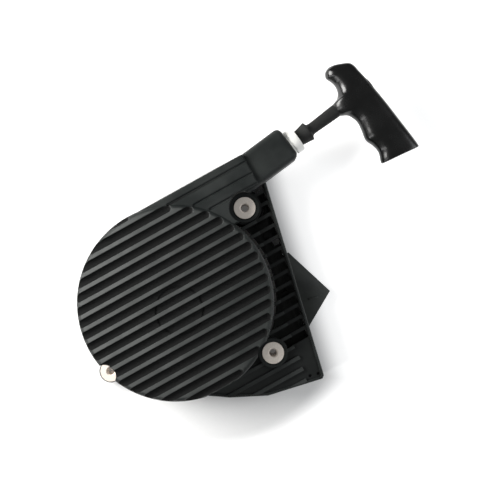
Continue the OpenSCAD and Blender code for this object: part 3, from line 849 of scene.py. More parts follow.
PAWL_STEEL = Pressed("pressed_pawl_steel", (0.38, 0.37, 0.36), (0.22, 0.2, 0.18), (0.3, 0.5))
STARTER_ROPE = Braided("braided_starter_rope", (0.72, 0.71, 0.66), (0.34, 0.31, 0.26))


# ------------------------------------------------------------------ housing


@dataclass
class RopeLine:
    """The straight line that the rope follows from the rotor to the handle."""

    angle: float = 7.5652
    layer_r: float = 49.35
    height: float = 33.4
    neck_end: float = 154.04
    collar: float = 162.94
    knot: float = 221.94

    @property
    def flat(self) -> Matrix:
        """Places a shape whose X runs along the rope and whose Z points up."""
        turn = Matrix.Rotation(math.radians(self.angle), 4, "Z")
        return turn @ Matrix.Translation((0, self.layer_r, self.height))

    def turned(self, start: float, shift: float = 0.0) -> Matrix:
        """Places a shape whose Z runs along the rope from a distance on it."""
        return self.flat @ Matrix.Translation((start, shift, 0)) @ Matrix.Rotation(math.pi / 2, 4, "Y")

    def reach(self, x: float) -> float:
        """Distance along the rope to the plane of a given x."""
        turn = math.radians(self.angle)
        return (x + self.layer_r * math.sin(turn)) / math.cos(turn)

    def tube(self, r: float, start: float, end: float, shift: float = 0.0) -> Shape:
        """A cylinder round the rope, for cutting."""
        bore = Shape.lathe([(0, 0), (r, 0), (r, end - start), (0, end - start)], 64)
        return bore.move(self.turned(start, shift))

    def point(self, distance: float) -> Vector:
        """A point on the line in metres."""
        return (self.flat @ Vector((distance, 0, 0))) * MM


@dataclass
class Housing:
    """The fan housing: ribbed drum, shoulder, neck and louvred flange in one moulding."""

    drum_r: float = 81.0
    drum_h: float = 54.0
    wall: float = 3.0
    ceiling_z: float = 48.0
    rim_round: float = 4.0
    pitch: float = 9.8
    valley_w: float = 6.8
    valley_d: float = 3.0
    valley_y: float = 2.4
    valley_soft: float = 1.1
    border_w: float = 2.0
    mark_r: float = 19.5
    mark_y: float = -7.0
    mark_w: float = 1.8
    mark_d: float = 0.8
    mark_z: Point2 = (49.5, 52.9)
    shoulder_h: float = 52.0
    shoulder_x: float = 107.0
    groove_r: float = 1.25
    groove_y: tuple[float, ...] = (53.6, 62.8, 73.4)
    neck_w: float = 29.6
    neck_shift: float = 2.0
    neck_soft: float = 5.0
    passage_r: float = 5.5
    bush_seat_r: float = 8.25
    bush_seat_d: float = 10.05
    bush_shift: float = 1.1
    flange_h: float = 28.5
    flange_t: float = 3.0
    bar_h: float = 2.4
    rim_h: float = 1.5
    rim_w: float = 2.2
    drain_y: Point2 = (2.0, 5.6)
    drain_in: Point2 = (6.0, 1.4)
    boss_r: float = 12.3
    boss_foot_r: float = 8.0
    well_r: float = 12.8
    boss_h: float = 34.0
    lug_h: float = 12.0
    lug_r: float = 9.8
    sleeve_r: float = 5.05
    sleeve_seat_d: float = 1.5
    boss_seat_r: float = 10.0
    lug_seat_r: float = 9.25
    post_seat_r: float = 7.05
    post_seat_z: Point2 = (44.6, 50.25)
    post_boss_r: float = 10.0
    post_boss_z: float = 45.6
    column_r: float = 3.6
    ear_z: float = 44.0
    ear_r: float = 42.4
    ear_angles: tuple[float, ...] = (38, 152, 268)
    guide_z: float = 8.0
    guide_play: float = 0.4
    pin_r: float = 1.3
    pin_d: float = 1.2
    pins: tuple[Point2, ...] = ((67.5, -109.0), (74.3, -110.6))
    boss_top: Point2 = (87.607, 41.411)
    boss_bottom: Point2 = (49.617, -76.403)
    lug: Point2 = (-80.617, -24.647)
    guide_screws: tuple[Point2, ...] = ((93.895, 11.529), (82.829, -40.042), (61.959, -96.879))
    guide_corner: tuple[Point2, ...] = ((87.8, -8), (102.53, -9.5), (117.93, -56), (86.45, -74.5))
    flange: tuple[Point2, ...] = (
        (8, 80), (107, 80), (114.6, 55.5), (77.9, -114), (75.5, -116), (28.3, -106.3), (-0.5, -92.2),
        (-21.87, -78.003),
    )
    shoulder: tuple[Point2, ...] = (
        (0, 60), (8, 80.5), (107, 80.5), (107, 53), (95.007, 53), (80.007, 33.011), (68.007, 33.011),
    )
    # Painted light: how deep painted shade fills the valleys, how the painted highlight on crests fades
    # across the drum away from the key light and near the rim, and how strong the painted highlight on bar
    # tops and the painted shade on the flange plate are.
    valley_shade_depth: float = 0.9
    highlight_middle: float = 0.7
    highlight_fade_along: Point2 = (0.875, -0.485)
    highlight_fade_length: float = 130.0
    highlight_rim_fade: float = 1.5
    bar_highlight: float = 0.22
    plate_shade: float = 0.5
    rope: RopeLine = field(default_factory=RopeLine)

    @property
    def ears(self) -> tuple[Point2, ...]:
        """Where the cassette's screws stand."""
        turns = [math.radians(angle) for angle in self.ear_angles]
        return tuple((self.ear_r * math.cos(a), self.ear_r * math.sin(a)) for a in turns)

    @property
    def edge_slope(self) -> float:
        """How far the flange's long edge moves along X on each millimetre of Y."""
        (upper_x, upper_y), (lower_x, lower_y) = self.flange[2:4]
        return (upper_x - lower_x) / (upper_y - lower_y)

    def edge_x(self, y: float | Field) -> float | Field:
        """Where the flange's long edge is at a given y."""
        upper_x, upper_y = self.flange[2]
        return (y - upper_y) * self.edge_slope + upper_x

    def ribbed_drum(self, deeper: float = 0.0) -> Shape:
        """The drum with its valleys, as a height over a grid whose rows follow the ribs.

        Args:
            deeper: How much deeper the valleys are than the real ones.

        Returns:
            The closed solid.
        """
        rows_per_rib = 20
        rows = 2 * int(self.drum_r / self.pitch * rows_per_rib + 2) + 1
        columns = 150
        weld = 0.004
        recipe = Recipe("ribbed_drum")
        n = recipe.nodes
        radius = recipe.size("drum radius", float(self.drum_r))
        top = recipe.size("drum height", self.drum_h)
        round_r = recipe.size("rim radius", self.rim_round)
        pitch = recipe.size("rib pitch", self.pitch)
        first = recipe.size("first valley", self.valley_y)
        half = recipe.size("half valley width", self.valley_w / 2)
        depth = recipe.size("valley depth", self.valley_d)
        border = recipe.size("border width", self.border_w)
        extra = recipe.size("extra depth", deeper)
        grid = n.make(
            "GeometryNodeMeshGrid", None,
            {"Size X": 2.0, "Size Y": rows - 1.0, "Vertices X": columns, "Vertices Y": rows},
        )
        across, row, _ = n.parts(n.make("GeometryNodeInputPosition"))
        y = (first + row * pitch / rows_per_rib).at_most(radius).at_least(radius * -1)
        x = (radius * radius - y * y).at_least(0.0).root() * (across * (math.pi / 2)).sine()
        beyond = ((x * x + y * y).root() - (radius - round_r)).at_least(0.0).at_most(round_r)
        plain = top - round_r + (round_r * round_r - beyond * beyond).root()
        off = (((y - first) / pitch + 0.5).fraction() - 0.5) * pitch
        middle = y - off
        end = ((radius - border) ** 2 - middle * middle).at_least(1.0).root() - half
        away = (off * off + (x - end).at_least(0.0) ** 2).root()
        scoop = (half * half + depth * depth) / (depth * 2)
        cut = top + scoop - depth - ((scoop + extra) ** 2 - away * away).at_least(0.0).root()
        place = n.vector(x, y, n.math("SMOOTH_MIN", plain, cut, self.valley_soft))
        placed = n.make("GeometryNodeSetPosition", None, {"Geometry": grid, "Position": place})
        joined = n.make("GeometryNodeMergeByDistance", None, {"Geometry": placed, "Distance": weld})
        shape = recipe.run("ribbed_drum", joined, HOUSING.material)
        return self._closed_below(shape)

    def _closed_below(self, shape: Shape) -> Shape:
        """Draws the open skin's edge down to the rim and closes it there."""
        bm = bmesh.new()
        bm.from_mesh(shape.obj.data)
        bmesh.ops.dissolve_degenerate(bm, dist=1e-4, edges=bm.edges[:])
        open_edges = [e for e in bm.edges if e.is_boundary]
        drawn = bmesh.ops.extrude_edge_only(bm, edges=open_edges)["geom"]
        for vert in (g for g in drawn if isinstance(g, bmesh.types.BMVert)):
            vert.co.z = 0.0
        bmesh.ops.holes_fill(bm, edges=[e for e in bm.edges if e.is_boundary], sides=0)
        bmesh.ops.recalc_face_normals(bm, faces=bm.faces[:])
        bm.to_mesh(shape.obj.data)
        bm.free()
        return shape

    def bars(
        self, first: int, count: int, width: float, low: float, high: float, margin: float, left: float
    ) -> Shape:
        """Parallel bars that end along the flange's long edge.

        Args:
            first: Number of the first bar's valley.
            count: How many bars there are.
            width: Width of each.
            low: Lower face.
            high: Upper face.
            margin: How far each one ends from the flange's edge, inwards.
            left: Where they start.

        Returns:
            The bars as one mesh.
        """
        recipe = Recipe("bars")
        n = recipe.nodes
        pitch = recipe.size("pitch", self.pitch)
        start_y = recipe.size("first bar", self.valley_y + first * self.pitch)
        wide = recipe.size("bar width", width)
        bottom = recipe.size("lower face", low)
        top = recipe.size("upper face", high)
        begin = recipe.size("left end", left)
        end_in = recipe.size("distance from the edge", margin)
        y = start_y + n.make("GeometryNodeInputIndex") * pitch
        end = self.edge_x(y) - end_in
        line = n.make("GeometryNodeMeshLine", {"mode": "OFFSET"}, {"Count": recipe.size("count", count)})
        points = n.make(
            "GeometryNodeSetPosition", None,
            {"Geometry": line, "Position": n.vector((begin + end) * 0.5, y, (bottom + top) * 0.5)},
        )
        block = n.make("GeometryNodeMeshCube", None, {"Size": (1.0, 1.0, 1.0)})
        stood = n.make(
            "GeometryNodeInstanceOnPoints", None,
            {"Points": points, "Instance": block, "Scale": n.vector(end - begin, wide, top - bottom)},
        )
        return recipe.run("bars", stood, HOUSING.material)

    def round_mark(self) -> Shape:
        """The round mark in the drum's valleys, for cutting."""
        near, far = self.mark_r - self.mark_w / 2, self.mark_r + self.mark_w / 2
        low, high = self.mark_z
        ring = Shape.lathe([(near, low), (far, low), (far, high), (near, high)])
        ring.move(Matrix.Translation((0, self.mark_y, 0)))
        return ring.carve(Cut.AWAY, self.ribbed_drum(self.mark_d))

    def outside(self) -> Shape:
        """Everything that the moulding shows on its outside, still solid."""
        shell = self.ribbed_drum()
        shell.carve(Cut.AWAY, self.round_mark())
        shoulder = Shape.prism(self.shoulder, 0, self.shoulder_h, edge=1.4, corners=1.6)
        shoulder.carve(Cut.AWAY, Shape.cylinder(self.drum_r - 2, self.ceiling_z, self.drum_h + 2))
        plate = Shape.prism(self.flange, 0, self.flange_h + self.rim_h, edge=0.9, corners=1.6)
        sunk = Shape.prism(inset(self.flange, self.rim_w), self.flange_h, self.flange_h + 9, corners=1.2)
        plate.carve(Cut.AWAY, sunk)
        low, high = self.flange_h - 0.2, self.flange_h + self.bar_h
        raised = self.bars(first=-8, count=13, width=2.8, low=low, high=high, margin=18.5, left=0.0)
        raised.move(Matrix.Translation((0, -self.pitch / 2, 0)))
        corner = self.bars(first=-12, count=3, width=3.2, low=low, high=high, margin=14.5, left=-30.0)
        corner.move(Matrix.Translation((0, self.pitch / 2, 0)))
        for bars in (raised, corner):
            bars.carve(Cut.KEEP, Shape.prism(inset(self.flange, 1), 0, self.drum_h))
        lug = Shape.cylinder(self.lug_r, 0, self.lug_h, self.lug, edge=0.6)
        return shell.carve(Cut.ADD, shoulder, plate, raised, corner, lug, self.neck())

    def neck(self) -> Shape:
        """The square neck round the rope, with every corner well rounded."""
        start = self.rope.reach(self.shoulder_x) - 14
        length = self.rope.neck_end - start
        bm = bmesh.new()
        bmesh.ops.create_cube(bm, size=1.0)
        bmesh.ops.scale(bm, vec=(length, self.neck_w, self.neck_w), verts=bm.verts[:])
        bmesh.ops.translate(bm, vec=(start + length / 2, self.neck_shift, 0), verts=bm.verts[:])
        soft = [e for e in bm.edges if any(v.co.x > start + 1 for v in e.verts)]
        bmesh.ops.bevel(bm, geom=soft, offset=self.neck_soft, segments=8, profile=0.5, affect="EDGES")
        return Shape.from_bmesh("neck", bm).move(self.rope.flat)

    def inside(self) -> Shape:
        """The hollow below the ceiling, the flange plate and the shoulder."""
        hollow = Shape.cylinder(self.drum_r - self.wall, -1, self.ceiling_z)
        hollow.carve(
            Cut.ADD,
            Shape.prism(inset(self.flange, self.wall), -1, self.flange_h - self.flange_t),
            Shape.prism(inset(self.shoulder, self.wall), -1, self.shoulder_h - self.wall),
        )
        return hollow.carve(
            Cut.AWAY,
            Shape.cylinder(self.well_r + self.wall, -2, self.drum_h, self.boss_top),
            Shape.cylinder(self.lug_r + self.wall, -2, self.drum_h + 2, self.lug),
        )

    def columns(self) -> list[Shape]:
        """The bosses and columns that carry screws and the post."""
        under, ceiling = self.flange_h - self.flange_t, self.ceiling_z + 0.5
        made = [
            Shape.cylinder(self.boss_r, 0, self.boss_h, self.boss_top, edge=0.5),
            Shape.cylinder(self.boss_foot_r, 0, self.boss_h - 1, self.boss_bottom),
            Shape.cylinder(self.boss_r, under, self.boss_h, self.boss_bottom, edge=0.5),
            Shape.cylinder(self.post_boss_r, self.post_boss_z, ceiling, edge=0.3),
        ]
        made += [Shape.cylinder(self.column_r, self.ear_z, ceiling, at) for at in self.ears]
        made += [Shape.cylinder(self.column_r, self.guide_z, under + 0.5, at) for at in self.guide_screws]
        return made

    def slots(self) -> Shape:
        """The long air slots between the flange's bars."""
        low, high = self.flange_h - self.flange_t - 1, self.flange_h + 1
        cut = self.bars(-8, 14, self.valley_w, low, high, margin=self.wall + 0.5, left=0.0)
        below, above = low - 2, high + 2
        solid_x = self.boss_bottom[0] - 11.6
        return cut.carve(
            Cut.AWAY,
            Shape.cylinder(self.drum_r - 0.3, below, above),
            Shape.cylinder(self.well_r + 1.2, below, above, self.boss_top),
            Shape.cylinder(self.well_r, below, above, self.boss_bottom),
            Shape.prism(self.shoulder, below, above),
            Shape.box((-1, -self.drum_r - 8, below), (solid_x, -self.drum_r + 22, above)),
        )

    def grooves(self) -> list[Shape]:
        """The shallow grooves along the shoulder, with round ends."""
        length = 140
        made = []
        for y in self.groove_y:
            start = math.sqrt((self.drum_r - self.border_w) ** 2 - y * y) + 3
            end = (start + self.groove_r, y, self.shoulder_h)
            bm = bmesh.new()
            bmesh.ops.create_uvsphere(bm, u_segments=24, v_segments=16, radius=self.groove_r)
            bmesh.ops.translate(bm, vec=end, verts=bm.verts[:])
            made.append(Shape.from_bmesh("end", bm))
            bar = Shape.lathe([(0, 0), (self.groove_r, 0), (self.groove_r, length), (0, length)], 32)
            made.append(bar.move(Matrix.Translation(end) @ Matrix.Rotation(math.pi / 2, 4, "Y")))
        return made

    def rope_way(self) -> list[Shape]:
        """The rope's passage through the neck and the seat of its bush."""
        mouth = self.rope.neck_end
        return [
            self.rope.tube(self.passage_r, self.rope.reach(self.shoulder_x) - 20, mouth + 40),
            self.rope.tube(self.bush_seat_r, mouth - self.bush_seat_d, mouth + 2, self.bush_shift),
        ]

    def drain(self) -> Shape:
        """The notch that goes through the flange near its long edge."""
        edge = self.edge_x(0)
        far, near = self.drain_in
        return Shape.box((edge - far, self.drain_y[0], -1), (edge - near, self.drain_y[1], self.drum_h + 3))

    def holes(self) -> list[Shape]:
        """Wells, bores, seats and the rope's passage."""
        top = self.drum_h + 3
        made = [
            Shape.cylinder(self.well_r, self.boss_h, top, self.boss_top),
            Shape.cylinder(self.well_r, self.boss_h, top, self.boss_bottom),
            Shape.cylinder(self.lug_r, self.lug_h, top, self.lug),
            Shape.cylinder(self.post_seat_r, *self.post_seat_z),
            *self.rope_way(),
            self.drain(),
        ]
        for at, height, seat_r in (
            (self.boss_top, self.boss_h, self.boss_seat_r),
            (self.boss_bottom, self.boss_h, self.boss_seat_r),
            (self.lug, self.lug_h, self.lug_seat_r),
        ):
            made.append(Shape.cylinder(self.sleeve_r, -1, height + 1, at))
            made.append(Shape.cylinder(seat_r, height - self.sleeve_seat_d, height + 3, at))
        foot, top = self.flange_h - self.pin_d, self.flange_h + 3
        made += [Shape.cylinder(self.pin_r, foot, top, at, edge=0.1) for at in self.pins]
        guide = inset(self.guide_corner, -self.guide_play)
        return made + [Shape.prism(guide, -1, self.guide_z + self.guide_play)]

    def relief(self, co: np.ndarray) -> np.ndarray:
        """Where painted light falls on each vertex: above 0 for a painted highlight on crests and bar tops,
        strongest on the left towards the key light, and down to -1 for painted shade in the valleys, on the
        flange plate and below it.

        Args:
            co: The vertices' places, one to a row.

        Returns:
            A number for each vertex.
        """
        x, y, z = co[:, 0], co[:, 1], co[:, 2]
        radius = np.hypot(x, y)
        beyond = np.clip(radius - self.drum_r + self.rim_round, 0, self.rim_round)
        depth = self.drum_h - self.rim_round + np.sqrt(self.rim_round**2 - beyond**2) - z
        drum = (radius < self.drum_r - 0.3) * (depth < self.valley_d + 2)
        # Painted shade, deepest at the bottom of each valley.
        valley = drum * np.clip(depth / self.valley_shade_depth, 0, 1)
        # The painted highlight on crests is strongest on the left, towards the key light, and fades to the
        # right and near the rim.
        lit_share = self.highlight_middle - (x * self.highlight_fade_along[0] + y * self.highlight_fade_along[1]) / self.highlight_fade_length
        crest = drum * (1 - valley) * np.clip(1 - beyond / self.highlight_rim_fade, 0, 1) * lit_share
        over = z - self.flange_h
        flange = (radius > self.drum_r + 0.2) * (x > 0)
        # A faint painted highlight on the bar tops, painted shade on the plate between the bars and full
        # painted shade on all that lies below the plate.
        bar_tops = (abs(over - self.bar_h) < 0.2) * self.bar_highlight
        plate = (abs(over) < 0.1) * self.plate_shade
        return crest - valley + flange * (bar_tops - (over < -0.1) - plate)

    def build(self) -> None:
        """Makes the moulding."""
        shell = self.outside()
        shell.carve(Cut.AWAY, self.inside())
        shell.carve(Cut.ADD, *self.columns())
        shell.carve(Cut.AWAY, self.slots(), *self.grooves(), *self.holes())
        # The attribute "relief" tells the finish where to paint shade and highlights.
        shell.mark("relief", self.relief)
        finish = HOUSING.material
        shell.piece("fan_housing_shell", "housing", "housing_plastic", finish, ["fan_housing"], 28)


# ------------------------------------------------------------------ pieces fixed to the housing


@dataclass
class Screws:
    """Small screws with a round head and a hexagonal socket, standing head down."""

    name: str
    node: str
    slot: str
    places: tuple[Point2, ...]
    height: float
    length: float
    head_r: float = 2.9
    head_t: float = 1.8
    shank_r: float = 1.45
    thread_pitch: float = 0.8
    thread_d: float = 0.18
    socket_r: float = 1.4
    turn: float = 0.7

    def one(self) -> Shape:
        """A single screw at the origin."""
        half = self.thread_pitch / 2
        rows = int(self.length / half)
        thread = [(self.shank_r - self.thread_d * (i % 2), 0.2 + i * half) for i in range(rows - 1)]
        dome = [(0, -self.head_t), (self.head_r * 0.72, -self.head_t), (self.head_r, -self.head_t * 0.55)]
        outline = [*dome, (self.head_r, 0), *thread, (0, self.length - 0.2)]
        screw = Shape.lathe(outline, 24)
        turns = [math.pi * i / 3 for i in range(6)]
        hexagon = [(self.socket_r * math.cos(a), -self.socket_r * math.sin(a)) for a in turns]
        return screw.carve(Cut.AWAY, Shape.prism(hexagon, -self.head_t - 1, -self.head_t + 1))

    def build(self) -> None:
        """Puts one screw at every place."""
        host = Shape.empty(self.name)
        host.obj.data.from_pydata([(x, y, self.height) for x, y in self.places], [], [])
        recipe = Recipe(self.name)
        n = recipe.nodes
        single = self.one()
        turn = recipe.size("turn between screws", self.turn)
        shape = n.make("GeometryNodeObjectInfo", None, {"Object": single.obj}, out="Geometry")
        angle = n.vector(0.0, 0.0, n.make("GeometryNodeInputIndex") * turn)
        stood = n.make(
            "GeometryNodeInstanceOnPoints", None,
            {"Points": recipe.given, "Instance": shape, "Rotation": angle},
        )
        made = recipe.run(self.name, stood, SCREW_STEEL.material, host)
        bpy.data.objects.remove(single.obj)
        made.piece(self.name, "housing", self.slot, SCREW_STEEL.material, [self.node], 40)


@dataclass
class Sleeves:
    """The three turned steel sleeves that take the mounting screws."""

    bore_r: float = 3.25
    tube_r: float = 5.0
    flange_r: float = 9.2
    flange_t: float = 1.5
    mouth_r: float = 4.1
    mouth_d: float = 0.8
    edge: float = 0.3

    def sleeve(self, height: float, at: Point2) -> Shape:
        """One sleeve.

        Args:
            height: Its length.
            at: Its middle.

        Returns:
            The closed solid.
        """
        count = 6
        face_w = self.flange_r - self.edge - self.mouth_r
        steps = [self.mouth_r + face_w * i / count for i in range(count + 1)]
        outline = [
            (self.bore_r, 0), (self.tube_r, 0), (self.tube_r, height - self.flange_t),
            (self.flange_r, height - self.flange_t), (self.flange_r, height - self.edge),
            *[(r, height) for r in reversed(steps)], (self.bore_r, height - self.mouth_d),
        ]
        return Shape.lathe(outline, 96).move(Matrix.Translation((*at, 0)))

    def build(self, housing: Housing) -> None:
        """Makes the sleeves of the two bosses and of the lug."""
        for name, height, at, node in (
            ("boss_sleeve_top", housing.boss_h, housing.boss_top, "boss_sleeves"),
            ("boss_sleeve_bottom", housing.boss_h, housing.boss_bottom, "boss_sleeves"),
            ("lug_sleeve_turned", housing.lug_h, housing.lug, "lug_sleeve"),
        ):
            sleeve = self.sleeve(height, at)
            sleeve.piece(name, "housing", "sleeve_steel", SLEEVE_STEEL.material, [node], 24)


@dataclass
class RopeBush:
    """The white nylon bush in the neck's mouth: a tail in the neck and a stepped ring in front of it."""

    line: RopeLine
    tail_r: float = 8.2
    tail_l: float = 10.0
    ring_r: float = 11.3
    ring_l: float = 8.6
    bore_r: float = 4.0
    shift: float = 1.1
    undercut_w: float = 1.6
    undercut_d: float = 1.5
    step: float = 0.9

    def build(self) -> None:
        """Makes the bush."""
        tail, end = self.tail_l, self.tail_l + self.ring_l
        step_r = self.ring_r - self.step
        steps = 6
        undercut = []
        for i in range(1, steps + 1):
            a = math.pi / 2 * (steps - i) / steps
            z = end - self.undercut_d + self.undercut_d * (1 - math.cos(a))
            undercut.append((self.bore_r + self.undercut_w * (1 - math.sin(a)), z))
        outline = [
            (self.bore_r, 0), (self.tail_r - 0.5, 0), (self.tail_r, 0.5), (self.tail_r, tail),
            (step_r, tail), (step_r, tail + 2), (self.ring_r, tail + 2.1), (self.ring_r, end - self.step),
            (self.ring_r - 0.3, end - 0.25), (step_r, end), *undercut,
        ]
        bush = Shape.lathe(outline, 120)
        bush.move(self.line.turned(self.line.neck_end - self.tail_l, self.shift))
        bush.piece("rope_bush_ring", "housing", "white_nylon", NYLON.material, ["rope_bush"], 30)


@dataclass
class Inside:
    """The plainer pieces: rounded copies of their solids, each in its own finish."""

    smooth: float = 34.0

    def build(self) -> None:
        """Makes every piece of the list."""
        for node, body, slot, finish, edge in (
            ("air_guide", "housing", "guide_plastic", GUIDE, 0.5),
            ("starter_post", "housing", "bright_steel", BRIGHT_STEEL, 0.2),
            ("spring_cassette", "housing", "housing_plastic", CASSETTE, 0.3),
            ("spring_cover", "housing", "housing_plastic", CASSETTE, 0.2),
            ("rewind_spring", "housing", "spring_steel", SPRING_STEEL, 0.1),
            ("thrust_washer", "housing", "bright_steel", BRIGHT_STEEL, 0.15),
            ("e_clip", "housing", "spring_steel", SPRING_STEEL, 0.2),
            ("rope_rotor", "rotor", "rotor_plastic", ROTOR, 0.35),
            ("rotor_bush", "rotor", "bright_steel", BRIGHT_STEEL, 0.1),
            ("pawl_pins", "rotor", "bright_steel", BRIGHT_STEEL, 0.15),
            ("pawl_a", "pawl_a", "pawl_steel", PAWL_STEEL, 0.4),
            ("pawl_b", "pawl_b", "pawl_steel", PAWL_STEEL, 0.4),
            ("friction_clip", "clip", "spring_steel", SPRING_STEEL, 0.0),
            ("knot_washer", "rope_end", "bright_steel", BRIGHT_STEEL, 0.15),
        ):
            shape = Shape.from_node(node, edge)
            shape.mark("turned", lambda co: np.hypot(co[:, 0], co[:, 1]))
            shape.piece(node + "_finished", body, slot, finish.material, [node], self.smooth)


# ------------------------------------------------------------------ rope


@dataclass
class Braid:
    """Strands that wind both ways round a path, over and under each other, with a core inside."""

    diameter: float = 4.5
    pitch: float = 16.0
    strands: int = 6
    spacing: float = 1.2
    sides: int = 5
    strand_share: float = 0.137
    lift_share: float = 0.033
    tuck: float = 1.26

    def along(self, name: str, points: Sequence[Sequence[float]]) -> Shape:
        """Makes the braid along a path.

        Args:
            name: The name of the result.
            points: The path's points.

        Returns:
            The strands and the core as one mesh.
        """
        host = Shape.empty(name)
        edges = [(i, i + 1) for i in range(len(points) - 1)]
        host.obj.data.from_pydata([tuple(p) for p in points], edges, [])
        recipe = Recipe(name)
        n = recipe.nodes
        thick = self.diameter * self.strand_share
        strand_r = recipe.size("strand radius", thick)
        lift = recipe.size("over and under", self.diameter * self.lift_share)
        middle = recipe.size("radius of the strands' middle", self.diameter / 2 - thick * self.tuck)
        pitch = recipe.size("pitch", self.pitch)
        step = recipe.size("distance of sections", self.spacing)
        count = recipe.size("strands each way", self.strands)
        path = n.make("GeometryNodeMeshToCurve", None, {0: recipe.given})
        fine = n.make("GeometryNodeResampleCurve", {"mode": "LENGTH"}, {"Curve": path, "Length": step})
        copies = n.make(
            "GeometryNodeDuplicateElements", {"domain": "SPLINE"}, {"Geometry": fine, "Amount": count * 2}
        )
        number = Field(n, copies.socket.node.outputs["Duplicate Index"])
        way = 1 - n.math("GREATER_THAN", number, count - 0.5) * 2
        length = n.make("GeometryNodeSplineParameter", out="Length")
        turn = length * (2 * math.pi) / pitch
        angle = way * turn + number * (2 * math.pi) / count
        reach = middle + way * lift * (turn * count).cosine()
        normal, tangent = n.make("GeometryNodeInputNormal"), n.make("GeometryNodeInputTangent")
        side = n.make("ShaderNodeVectorMath", {"operation": "CROSS_PRODUCT"}, {0: tangent, 1: normal})
        parts = [
            n.make("ShaderNodeVectorMath", {"operation": "SCALE"}, {0: vector, "Scale": reach * amount})
            for vector, amount in ((normal, angle.cosine()), (side, angle.sine()))
        ]
        offset = n.make("ShaderNodeVectorMath", {"operation": "ADD"}, {0: parts[0], 1: parts[1]})
        wound = n.make("GeometryNodeSetPosition", None, {"Geometry": copies, "Offset": offset})
        sections = []
        for curve, radius in ((wound, strand_r), (fine, middle)):
            circle = {"Resolution": self.sides, "Radius": radius}
            ring = n.make("GeometryNodeCurvePrimitiveCircle", {"mode": "RADIUS"}, circle)
            tube = {"Curve": curve, "Profile Curve": ring, "Fill Caps": True}
            sections.append(n.make("GeometryNodeCurveToMesh", None, tube))
        both = n.make("GeometryNodeJoinGeometry", None, {0: sections[0]})
        n.feed(both.socket.node.inputs[0], sections[1])
        return recipe.run(name, both, STARTER_ROPE.material, host)


@dataclass
class Rope:
    """The starter rope: its layers on the rotor, its straight run to the handle, and both knots."""

    line: RopeLine
    core_r: float = 33.0
    turns: int = 3
    steps: int = 48
    layer: float = 4.7
    gap: float = 0.3
    pull: float = 750.0
    knot_turn: float = 70.0
    knot_in: float = 7.4
    knot_low: float = 2.8
    braid: Braid = field(default_factory=Braid)

    def coil(self) -> Shape:
        """The layers, from the rotor's core out to where the rope leaves."""
        start = self.core_r + self.braid.diameter / 2
        leaves = math.radians(self.line.angle + 90) + self.gap / self.line.layer_r
        points = []
        for i in range(self.steps * self.turns + 1):
            t = i / self.steps
            r = start + self.layer * t
            a = leaves + 2 * math.pi * (self.turns - t)
            points.append((r * math.cos(a), r * math.sin(a), self.line.height))
        return Braid(pitch=self.braid.pitch, spacing=1.6, sides=4).along("rope_layers", points)

    def run(self) -> Shape:
        """The straight run, braided at its full pulled length and closed up to the length at rest."""
        rest = self.line.knot - self.gap - 0.05
        full = rest + self.pull
        spans = 60
        run = self.braid.along("rope_run_braid", [(full * i / spans, 0, 0) for i in range(spans + 1)])
        close_up = Matrix.Diagonal((rest / full, 1, 1, 1))
        return run.move(self.line.flat @ Matrix.Translation((self.gap, 0, 0)) @ close_up)

    def knot(self, name: str, size: float, height: float) -> Shape:
        """A tight overhand knot round the Z axis.

        Args:
            name: The name of the result.
            size: Radius that it stays within.
            height: Height that it stays within, from zero up.

        Returns:
            The knot.
        """
        thick = size * 0.36
        count = 74
        points = []
        for i in range(count - 1):
            t = 2 * math.pi * i / count
            reach = (size - thick) * (0.62 + 0.38 * math.cos(3 * t))
            lift = height / 2 + (height / 2 - thick) * math.sin(3 * t)
            points.append((reach * math.cos(2 * t), reach * math.sin(2 * t), lift))
        return Braid(diameter=2 * thick, pitch=6.0, spacing=0.6, sides=5).along(name, points)

    def build(self) -> None:
        """Makes the rope's pieces."""
        finish = STARTER_ROPE.material
        self.coil().piece("rope_layers", "rotor", "starter_rope", finish, ["rope_coil"], 50)
        run = self.run().piece("rope_run_braid", None, "starter_rope", finish, ["rope_run"], 50)
        self.line.point(0.0)
        self.line.point(self.line.knot - 1)
        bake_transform(run)
        knot = self.knot("handle_knot_braid", 5.0, 8.4).move(self.line.turned(self.line.knot + 0.1))
        knot.piece("handle_knot_braid", "rope_end", "starter_rope", finish, ["handle_knot"], 50)
        at = Matrix.Rotation(math.radians(self.line.angle + self.knot_turn), 4, "Z")
        place = at @ Matrix.Translation((self.core_r - self.knot_in, 0, self.line.height - self.knot_low))
        inner = self.knot("rotor_knot_braid", 4.0, 5.6).move(place)
        inner.piece("rotor_knot_braid", "rotor", "starter_rope", finish, ["rotor_knot"], 50)


# ------------------------------------------------------------------ handle


